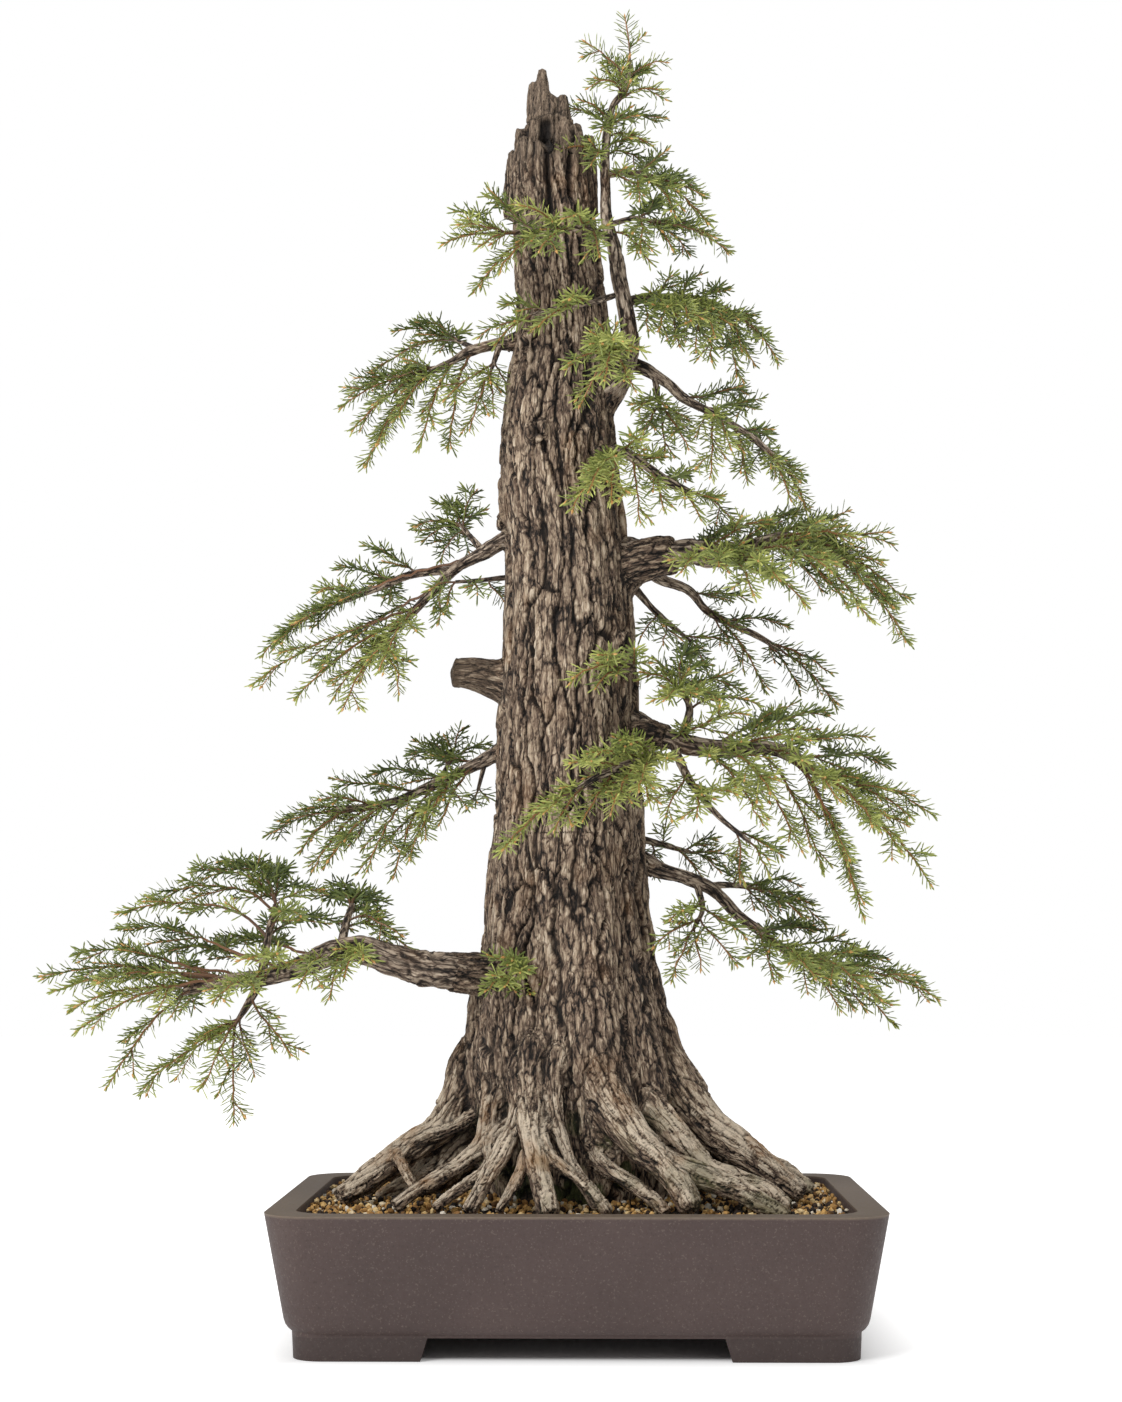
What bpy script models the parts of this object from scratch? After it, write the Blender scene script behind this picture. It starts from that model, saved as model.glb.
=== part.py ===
"""An old conifer bonsai in a rectangular stoneware pot, in metres, +Z up.

The pot, the soil block, the trunk with its surface roots, each branch and each
branch's foliage are separate pieces. All of them hang from one empty, which is
moved at the end so that the origin lies under the middle of the whole object.
"""

import math

import bmesh
import bpy
from mathutils import Vector

# Clearances
SEAT_GAP = 0.0003  # between a piece and what it sits in
ROOT_GAP = 0.0004  # between the roots and the soil
LEAF_GAP = 0.0004  # between the foliage and the twigs that carry it

# Pot
POT_LENGTH = 0.450
POT_DEPTH = 0.336
POT_HEIGHT = 0.1035
POT_CORNER = 0.034  # plan radius of the rim's outer corners
POT_TAPER = 0.0155  # how much narrower each side is at the bottom
RIM_WIDTH = 0.020
RIM_ROUND = 0.003
RIM_DEPTH = 0.010  # height of the rim's inner lip
WALL = 0.011
FLOOR = 0.009
HEEL_ROUND = 0.011  # radius where the wall meets the underside

# Feet
FOOT_HEIGHT = 0.0165
FOOT_STEP = 0.0045  # how far the feet stand in from the heel
FOOT_WIDTH = 0.024
FOOT_LENGTH_X = 0.094
FOOT_LENGTH_Y = 0.082
FOOT_SLANT = 0.006  # how much longer a foot is at its top than at its sole

# Drainage
DRAIN_RADIUS = 0.012
DRAIN_OFFSET = 0.105
SCREEN_SIDE = 0.034
SCREEN_THICK = 0.0016
SCREEN_BAR = 0.0026

# Soil
SOIL_DROP = 0.0065  # from the rim down to the soil along the wall
SOIL_MOUND = 0.007  # how much higher the soil is round the trunk

# Trunk
TRUNK_HEIGHT = 0.828  # from the soil to the ledge under the splinters
TRUNK_FOOT_RADIUS = 0.071
TRUNK_TOP_RADIUS = 0.0310
TRUNK_LEAN = 0.020
TAPER_HEIGHT = 0.740  # the trunk keeps its top radius above this
TAPER_POWER = 0.65
FLARE = 0.050
FLARE_LENGTH = 0.066
CROWN_DEPTH = 0.026  # how deep the trunk stands in the soil
FLUTES = 9
FLUTE_DEPTH = 0.045
TRUNK_SIDES = 26
TRUNK_RINGS = 14
ROOT_SIDES = 6
ROOT_DIVE = 0.008  # how deep a root's end lies in the soil
ROOT_TOE = 0.012  # how far it runs on while it dives

# Branches
BUTT_DEPTH = 0.014  # how far a branch reaches into the trunk
BRANCH_SIDES = 6
TWIG_SIDES = 5
TWIG_RADIUS = 0.0022

COLOURS = {
    "pot": ((0.075, 0.055, 0.050), 0.75),
    "screen": ((0.02, 0.02, 0.02), 0.6),
    "soil": ((0.18, 0.11, 0.05), 0.95),
    "bark": ((0.16, 0.12, 0.09), 0.9),
    "branch": ((0.10, 0.07, 0.055), 0.85),
    "foliage": ((0.10, 0.17, 0.05), 0.7),
}


def clear_scene():
    for obj in list(bpy.data.objects):
        bpy.data.objects.remove(obj)


def make_materials():
    made = {}
    for name, (colour, roughness) in COLOURS.items():
        material = bpy.data.materials.new(name)
        material.use_nodes = True
        shader = material.node_tree.nodes["Principled BSDF"]
        shader.inputs["Base Color"].default_value = (*colour, 1)
        shader.inputs["Roughness"].default_value = roughness
        made[name] = material
    return made


def add_loft(bm, rings):
    """Adds the closed skin through rings of points that all have the same count.

    Its sides are triangles, so that a piece and the cutter grown from it are split
    the same way and stay the same distance apart.
    """
    loops = [[bm.verts.new(point) for point in ring] for ring in rings]
    for low, high in zip(loops, loops[1:]):
        for i in range(len(low)):
            j = (i + 1) % len(low)
            bm.faces.new((low[i], low[j], high[j]))
            bm.faces.new((low[i], high[j], high[i]))
    bm.faces.new(reversed(loops[0]))
    bm.faces.new(loops[-1])


def object_from(bm, name, material, parent, collection=None):
    bmesh.ops.recalc_face_normals(bm, faces=bm.faces)
    mesh = bpy.data.meshes.new(name)
    bm.to_mesh(mesh)
    bm.free()
    mesh.materials.append(material)
    obj = bpy.data.objects.new(name, mesh)
    obj.parent = parent
    (collection or bpy.context.scene.collection).objects.link(obj)
    return obj


def shade_smooth(obj, angle=40):
    obj.data.shade_smooth()
    obj.data.set_sharp_from_angle(angle=math.radians(angle))


def helper_collection(name):
    collection = bpy.data.collections.new(name)
    bpy.context.scene.collection.children.link(collection)
    return collection


def hide_helpers(collection):
    for obj in collection.objects:
        obj.hide_render = True
        obj.display_type = "WIRE"


def boolean(obj, operation, name, other):
    """Adds a Boolean with one object, or with all the objects of a collection."""
    modifier = obj.modifiers.new(name, "BOOLEAN")
    modifier.operation = operation
    if isinstance(other, bpy.types.Collection):
        modifier.operand_type = "COLLECTION"
        modifier.collection = other
    else:
        modifier.object = other


def smooth_route(points, steps):
    """A Catmull-Rom curve through the points, with the given steps per span."""
    points = [Vector(point) for point in points]
    padded = [2 * points[0] - points[1], *points, 2 * points[-1] - points[-2]]
    route = []
    for i in range(1, len(padded) - 2):
        a, b, c, d = padded[i - 1 : i + 3]
        for step in range(steps):
            t = step / steps
            route.append(
                0.5
                * (
                    2 * b
                    + (c - a) * t
                    + (2 * a - 5 * b + 4 * c - d) * t**2
                    + (3 * b - a - 3 * c + d) * t**3
                )
            )
    return [*route, points[-1]]


def directions(route):
    """The unit tangent at each point of a route."""
    found = []
    for i in range(len(route)):
        before = route[max(i - 1, 0)]
        after = route[min(i + 1, len(route) - 1)]
        found.append((after - before).normalized())
    return found


def tube_rings(route, radii, sides):
    """Round rings along a route, each turned as little as possible from the last."""
    tangents = directions(route)
    normal = tangents[0].orthogonal().normalized()
    rings = []
    for point, tangent, radius in zip(route, tangents, radii):
        normal = (normal - tangent * normal.dot(tangent)).normalized()
        across = tangent.cross(normal)
        rings.append(
            [
                point
                + radius * math.cos(math.tau * k / sides) * normal
                + radius * math.sin(math.tau * k / sides) * across
                for k in range(sides)
            ]
        )
    return rings


def share_radii(count, start, end):
    """Radii from start to end that thin out evenly over the count of points."""
    return [start + (end - start) * i / (count - 1) for i in range(count)]


def rounded_rectangle(half_x, half_y, corner, height, steps=5):
    points = []
    for turn, (sign_x, sign_y) in enumerate([(1, 1), (-1, 1), (-1, -1), (1, -1)]):
        middle = Vector((sign_x * (half_x - corner), sign_y * (half_y - corner), height))
        for step in range(steps + 1):
            angle = math.radians(90 * (turn + step / steps))
            points.append(middle + corner * Vector((math.cos(angle), math.sin(angle), 0)))
    return points


# The pot ------------------------------------------------------------------


def wall_inset(height):
    """How far the outer wall stands in from the rim at a height."""
    return POT_TAPER * (POT_HEIGHT - height) / (POT_HEIGHT - FOOT_HEIGHT)


def plan(inset, height):
    """The pot's plan outline, moved in from the rim's outer edge."""
    corner = max(POT_CORNER - inset, 0.004)
    return rounded_rectangle(POT_LENGTH / 2 - inset, POT_DEPTH / 2 - inset, corner, height)


def floor_height():
    return FOOT_HEIGHT + FLOOR


def soil_inset(height):
    """How far the cavity's wall stands in from the rim's outer edge at a height."""
    return wall_inset(height) + WALL


def lip_height():
    return POT_HEIGHT - RIM_DEPTH


def make_pot(material, parent):
    bm = bmesh.new()
    rings = [plan(wall_inset(FOOT_HEIGHT) + HEEL_ROUND, FOOT_HEIGHT)]
    for step in range(1, 4):
        angle = math.radians(30 * step)
        height = FOOT_HEIGHT + HEEL_ROUND * (1 - math.cos(angle))
        rings.append(plan(wall_inset(height) + HEEL_ROUND * (1 - math.sin(angle)), height))
    for step in range(3):
        angle = math.radians(45 * step)
        height = POT_HEIGHT - RIM_ROUND * (1 - math.sin(angle))
        rings.append(plan(wall_inset(height) + RIM_ROUND * (1 - math.cos(angle)), height))
    rings.append(plan(RIM_WIDTH - 0.0015, POT_HEIGHT))
    rings.append(plan(RIM_WIDTH, POT_HEIGHT - 0.0015))
    rings.append(plan(RIM_WIDTH, lip_height()))
    rings.append(plan(soil_inset(lip_height() - RIM_WIDTH), lip_height() - RIM_WIDTH))
    rings.append(plan(soil_inset(floor_height()), floor_height()))
    add_loft(bm, rings)
    pot = object_from(bm, "pot", material, parent)

    helpers = helper_collection("pot_helpers")
    feet = make_feet(material, parent, helpers)
    boolean(pot, "UNION", "feet", feet)
    drains = helper_collection("pot_drains")
    for side in (-1, 1):
        bm = bmesh.new()
        bmesh.ops.create_cone(
            bm,
            cap_ends=True,
            segments=20,
            radius1=DRAIN_RADIUS,
            radius2=DRAIN_RADIUS,
            depth=3 * FLOOR,
        )
        drain = object_from(bm, f"drain_cutter_{side}", material, parent, drains)
        drain.location = (side * DRAIN_OFFSET, 0, FOOT_HEIGHT + FLOOR / 2)
    hide_helpers(drains)
    boolean(pot, "DIFFERENCE", "drains", drains)
    hide_helpers(helpers)
    shade_smooth(pot)
    return pot


def make_feet(material, parent, helpers):
    """A band round the underside, with a wide notch cut through each side."""
    overlap = 0.003
    bm = bmesh.new()
    outer = wall_inset(FOOT_HEIGHT) + FOOT_STEP
    inner = outer + FOOT_WIDTH
    sole_round = 0.0015
    rings = [
        plan(outer + sole_round, 0),
        plan(outer, sole_round),
        plan(outer, FOOT_HEIGHT + overlap),
        plan(inner, FOOT_HEIGHT + overlap),
        plan(inner, 0),
    ]
    loops = [[bm.verts.new(point) for point in ring] for ring in rings]
    for low, high in zip(loops, loops[1:] + loops[:1]):
        for i in range(len(low)):
            j = (i + 1) % len(low)
            bm.faces.new((low[i], low[j], high[j], high[i]))
    feet = object_from(bm, "feet_band", material, parent, helpers)
    for name, half, reach, along_x in (
        ("notch_x", POT_LENGTH / 2 - outer - FOOT_LENGTH_X, POT_DEPTH, False),
        ("notch_y", POT_DEPTH / 2 - outer - FOOT_LENGTH_Y, POT_LENGTH, True),
    ):
        bm = bmesh.new()
        profile = [
            (-half - FOOT_SLANT, -FOOT_HEIGHT),
            (half + FOOT_SLANT, -FOOT_HEIGHT),
            (half + FOOT_SLANT, 0.002),
            (half + FOOT_SLANT * 0.3, FOOT_HEIGHT * 0.6),
            (half, FOOT_HEIGHT + 2 * overlap),
            (-half, FOOT_HEIGHT + 2 * overlap),
            (-half - FOOT_SLANT * 0.3, FOOT_HEIGHT * 0.6),
            (-half - FOOT_SLANT, 0.002),
        ]
        rings = []
        for end in (-reach, reach):
            if along_x:
                rings.append([Vector((end, u, v)) for u, v in profile])
            else:
                rings.append([Vector((u, end, v)) for u, v in profile])
        add_loft(bm, rings)
        cutter = object_from(bm, name, material, parent, helpers)
        boolean(feet, "DIFFERENCE", name, cutter)
    return feet


def make_screens(material, parent):
    """The plastic mesh square that lies over each drainage hole."""
    bars = 4
    pitch = (SCREEN_SIDE - SCREEN_BAR) / (bars - 1)
    for name, side in (("drain_screen_left", -1), ("drain_screen_right", 1)):
        bm = bmesh.new()
        bmesh.ops.create_cube(bm, size=1)
        bmesh.ops.scale(bm, verts=bm.verts, vec=(SCREEN_SIDE, SCREEN_SIDE, SCREEN_THICK))
        screen = object_from(bm, name, material, parent)
        screen.location = (
            side * DRAIN_OFFSET,
            0,
            floor_height() + SEAT_GAP + SCREEN_THICK / 2,
        )
        holes = helper_collection(f"{name}_holes")
        hole = pitch - SCREEN_BAR
        for row in range(bars - 1):
            for column in range(bars - 1):
                bm = bmesh.new()
                bmesh.ops.create_cube(bm, size=1)
                bmesh.ops.scale(bm, verts=bm.verts, vec=(hole, hole, 3 * SCREEN_THICK))
                cutter = object_from(bm, f"{name}_hole", material, screen, holes)
                cutter.location = (
                    (row - (bars - 2) / 2) * pitch,
                    (column - (bars - 2) / 2) * pitch,
                    0,
                )
        hide_helpers(holes)
        boolean(screen, "DIFFERENCE", "holes", holes)


# The soil -----------------------------------------------------------------


def soil_edge():
    return POT_HEIGHT - SOIL_DROP


def soil_surface(share):
    """Height of the soil, from share 0 at the trunk to share 1 at the wall."""
    return soil_edge() + SOIL_MOUND * (1 - share**2)


def make_soil(material, parent, crown):
    bottom = floor_height() + SEAT_GAP
    lip = lip_height()
    under = lip - RIM_WIDTH
    bm = bmesh.new()
    rings = [
        plan(soil_inset(bottom) + SEAT_GAP, bottom),
        plan(soil_inset(under) + SEAT_GAP, under),
        plan(RIM_WIDTH + 2 * SEAT_GAP, lip - 2 * SEAT_GAP),
        plan(RIM_WIDTH + 2 * SEAT_GAP, soil_edge()),
    ]
    for share in (0.8, 0.6, 0.4):
        half_x = share * (POT_LENGTH / 2 - RIM_WIDTH)
        half_y = share * (POT_DEPTH / 2 - RIM_WIDTH)
        rings.append(
            rounded_rectangle(half_x, half_y, share * POT_CORNER, soil_surface(share))
        )
    add_loft(bm, rings)
    soil = object_from(bm, "soil", material, parent)
    boolean(soil, "DIFFERENCE", "crown", crown)
    pockets = helper_collection("soil_pockets")
    for side in (-1, 1):
        bm = bmesh.new()
        bmesh.ops.create_cube(bm, size=1)
        pocket = SCREEN_SIDE + 2 * SEAT_GAP
        bmesh.ops.scale(bm, verts=bm.verts, vec=(pocket, pocket, 2 * SCREEN_THICK))
        cutter = object_from(bm, f"screen_pocket_{side}", material, parent, pockets)
        cutter.location = (side * DRAIN_OFFSET, 0, floor_height() + 2 * SEAT_GAP)
    hide_helpers(pockets)
    boolean(soil, "DIFFERENCE", "pockets", pockets)
    shade_smooth(soil)


# The trunk and its roots --------------------------------------------------


def trunk_radius(height):
    """Radius at a height above the soil's edge."""
    share = min(max(height / TAPER_HEIGHT, 0), 1)
    taper = (TRUNK_FOOT_RADIUS - TRUNK_TOP_RADIUS) * (1 - share) ** TAPER_POWER
    return TRUNK_TOP_RADIUS + taper + FLARE * math.exp(-max(height, 0) / FLARE_LENGTH)


def trunk_axis(height):
    return Vector((-TRUNK_LEAN * height / TRUNK_HEIGHT, 0, soil_edge() + height))


def outward(azimuth):
    angle = math.radians(azimuth)
    return Vector((math.cos(angle), math.sin(angle), 0))


def trunk_surface(height, azimuth):
    return trunk_axis(height) + trunk_radius(height) * outward(azimuth)


# azimuth, how high it leaves the trunk, how much of the way to the pot's wall it
# reaches, sideways sweep, radius at the trunk, radius at the soil
ROOTS = [
    (199, 0.085, 0.93, 0.000, 0.030, 0.010),
    (212, 0.050, 0.75, 0.012, 0.020, 0.008),
    (224, 0.055, 0.76, -0.008, 0.017, 0.007),
    (238, 0.050, 0.88, -0.012, 0.016, 0.007),
    (248, 0.028, 0.92, 0.006, 0.010, 0.006),
    (262, 0.062, 0.98, 0.004, 0.019, 0.009),
    (280, 0.050, 0.95, 0.010, 0.013, 0.007),
    (297, 0.024, 0.90, 0.002, 0.013, 0.008),
    (317, 0.070, 0.98, 0.016, 0.022, 0.007),
    (331, 0.040, 0.79, 0.006, 0.018, 0.006),
    (346, 0.085, 0.93, -0.004, 0.030, 0.009),
    (12, 0.050, 0.88, 0.010, 0.022, 0.008),
    (37, 0.060, 0.76, -0.010, 0.024, 0.008),
    (63, 0.045, 0.92, 0.008, 0.018, 0.007),
    (88, 0.065, 0.94, -0.006, 0.024, 0.008),
    (113, 0.045, 0.92, 0.006, 0.018, 0.007),
    (138, 0.060, 0.83, -0.010, 0.024, 0.008),
    (163, 0.050, 0.89, 0.008, 0.022, 0.008),
]

# offset from the trunk's axis in X and Y, half widths in X and Y, rise above the ledge
SPLINTERS = [
    (-0.010, -0.004, 0.0110, 0.0090, 0.074),
    (-0.014, 0.009, 0.0095, 0.0080, 0.058),
    (0.008, -0.006, 0.0068, 0.0070, 0.053),
    (0.010, 0.011, 0.0080, 0.0075, 0.034),
    (-0.025, -0.006, 0.0060, 0.0090, 0.019),
    (0.022, 0.001, 0.0070, 0.0090, 0.014),
    (-0.018, -0.018, 0.0070, 0.0060, 0.012),
    (0.002, 0.021, 0.0090, 0.0060, 0.022),
]

# height above the soil, azimuth, length, radius at the trunk, radius at the end
STUBS = [
    (0.408, 180, 0.040, 0.0170, 0.0115),
    (0.676, 232, 0.008, 0.0110, 0.0065),
    (0.602, 241, 0.010, 0.0120, 0.0080),
    (0.235, 176, 0.007, 0.0160, 0.0080),
]


def add_trunk_body(bm, grow):
    """The fluted trunk. Grow makes it that much wider all round, and deeper."""
    rings = []
    low = -CROWN_DEPTH
    for ring in range(TRUNK_RINGS + 1):
        share = (ring / TRUNK_RINGS) ** 1.5
        height = low + (TRUNK_HEIGHT - low) * share
        radius = trunk_radius(height)
        centre = trunk_axis(height)
        if ring == 0:
            centre.z -= grow
        depth = FLUTE_DEPTH * (0.35 + 0.65 * math.exp(-max(height, 0) / (2 * FLARE_LENGTH)))
        points = []
        for side in range(TRUNK_SIDES):
            azimuth = 360 * side / TRUNK_SIDES
            wave = math.sin(math.radians(FLUTES * azimuth) + 3 * height / TRUNK_HEIGHT)
            wave += 0.5 * math.sin(math.radians(4 * azimuth) - 5 * height / TRUNK_HEIGHT)
            points.append(centre + (radius * (1 + depth * wave) + grow) * outward(azimuth))
        rings.append(points)
    add_loft(bm, rings)


def wall_distance(azimuth):
    """From the pot's middle to the rim's inner lip, in the direction of the azimuth."""
    way = outward(azimuth)
    to_end = (POT_LENGTH / 2 - RIM_WIDTH) / max(abs(way.x), 1e-6)
    to_side = (POT_DEPTH / 2 - RIM_WIDTH) / max(abs(way.y), 1e-6)
    return min(to_end, to_side)


def root_rings(root, grow):
    azimuth, rise, share, sweep, start_radius, end_radius = root
    reach = share * (wall_distance(azimuth) - ROOT_TOE - end_radius)
    side = outward(azimuth + 90)
    inside = trunk_axis(rise) + 0.55 * trunk_radius(rise) * outward(azimuth)
    leaving = trunk_axis(0.62 * rise) + trunk_radius(0.62 * rise) * outward(azimuth)
    resting = reach * outward(azimuth)
    resting.z = soil_surface(min(reach / (POT_LENGTH / 2), 1)) + 0.1 * end_radius
    halfway = leaving.lerp(resting, 0.5) + sweep * side
    halfway.z = resting.z + 0.25 * (leaving.z - resting.z)
    buried = resting + ROOT_TOE * outward(azimuth)
    buried.z -= ROOT_DIVE
    route = [*smooth_route([inside, leaving, halfway, resting], 2), buried]
    radii = share_radii(len(route), start_radius, end_radius)
    rings = tube_rings(route, [radius + grow for radius in radii], ROOT_SIDES)
    rings[-1] = [point + grow * directions(route)[-1] for point in rings[-1]]
    return rings


def make_trunk(material, parent, sockets):
    bm = bmesh.new()
    add_trunk_body(bm, 0)
    trunk = object_from(bm, "trunk", material, parent)
    joined = helper_collection("trunk_helpers")
    for number, root in enumerate(ROOTS):
        bm = bmesh.new()
        add_loft(bm, root_rings(root, 0))
        object_from(bm, f"root_{number}", material, parent, joined)
    for number, (x, y, half_x, half_y, rise) in enumerate(SPLINTERS):
        bm = bmesh.new()
        foot = trunk_axis(TRUNK_HEIGHT) + Vector((x, y, -0.030))
        rings = []
        for share, size in ((0, 1), (0.55, 0.92), (0.8, 0.6), (1, 0.12)):
            centre = foot + Vector((0.003 * share, 0, share * (rise + 0.030)))
            rings.append(
                [
                    centre
                    + Vector(
                        (
                            size * half_x * math.cos(math.tau * k / 5 + number),
                            size * half_y * math.sin(math.tau * k / 5 + number),
                            0.004 * (k % 2) * share,
                        )
                    )
                    for k in range(5)
                ]
            )
        add_loft(bm, rings)
        object_from(bm, f"splinter_{number}", material, parent, joined)
    for number, (height, azimuth, length, start_radius, end_radius) in enumerate(STUBS):
        bm = bmesh.new()
        base = trunk_surface(height, azimuth)
        route = [
            base - 0.015 * outward(azimuth),
            base,
            base + 0.35 * length * outward(azimuth),
            base + length * outward(azimuth) + Vector((0, 0, 0.1 * length)),
        ]
        middle_radius = end_radius + 0.25 * (start_radius - end_radius)
        radii = [start_radius, start_radius, middle_radius, end_radius]
        add_loft(bm, tube_rings(route, radii, 9))
        object_from(bm, f"stub_{number}", material, parent, joined)
    hide_helpers(joined)
    boolean(trunk, "UNION", "roots_and_splinters", joined)
    boolean(trunk, "DIFFERENCE", "sockets", sockets)
    shade_smooth(trunk, 60)


def make_crown_cutter(material, parent):
    """The trunk and roots, grown by the root gap, that the soil is cut with."""
    crown = helper_collection("crown_helpers")
    bm = bmesh.new()
    add_trunk_body(bm, ROOT_GAP)
    object_from(bm, "crown_body", material, parent, crown)
    for number, root in enumerate(ROOTS):
        bm = bmesh.new()
        add_loft(bm, root_rings(root, ROOT_GAP))
        object_from(bm, f"crown_root_{number}", material, parent, crown)
    hide_helpers(crown)
    return crown


# The branches and their foliage -------------------------------------------

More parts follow.
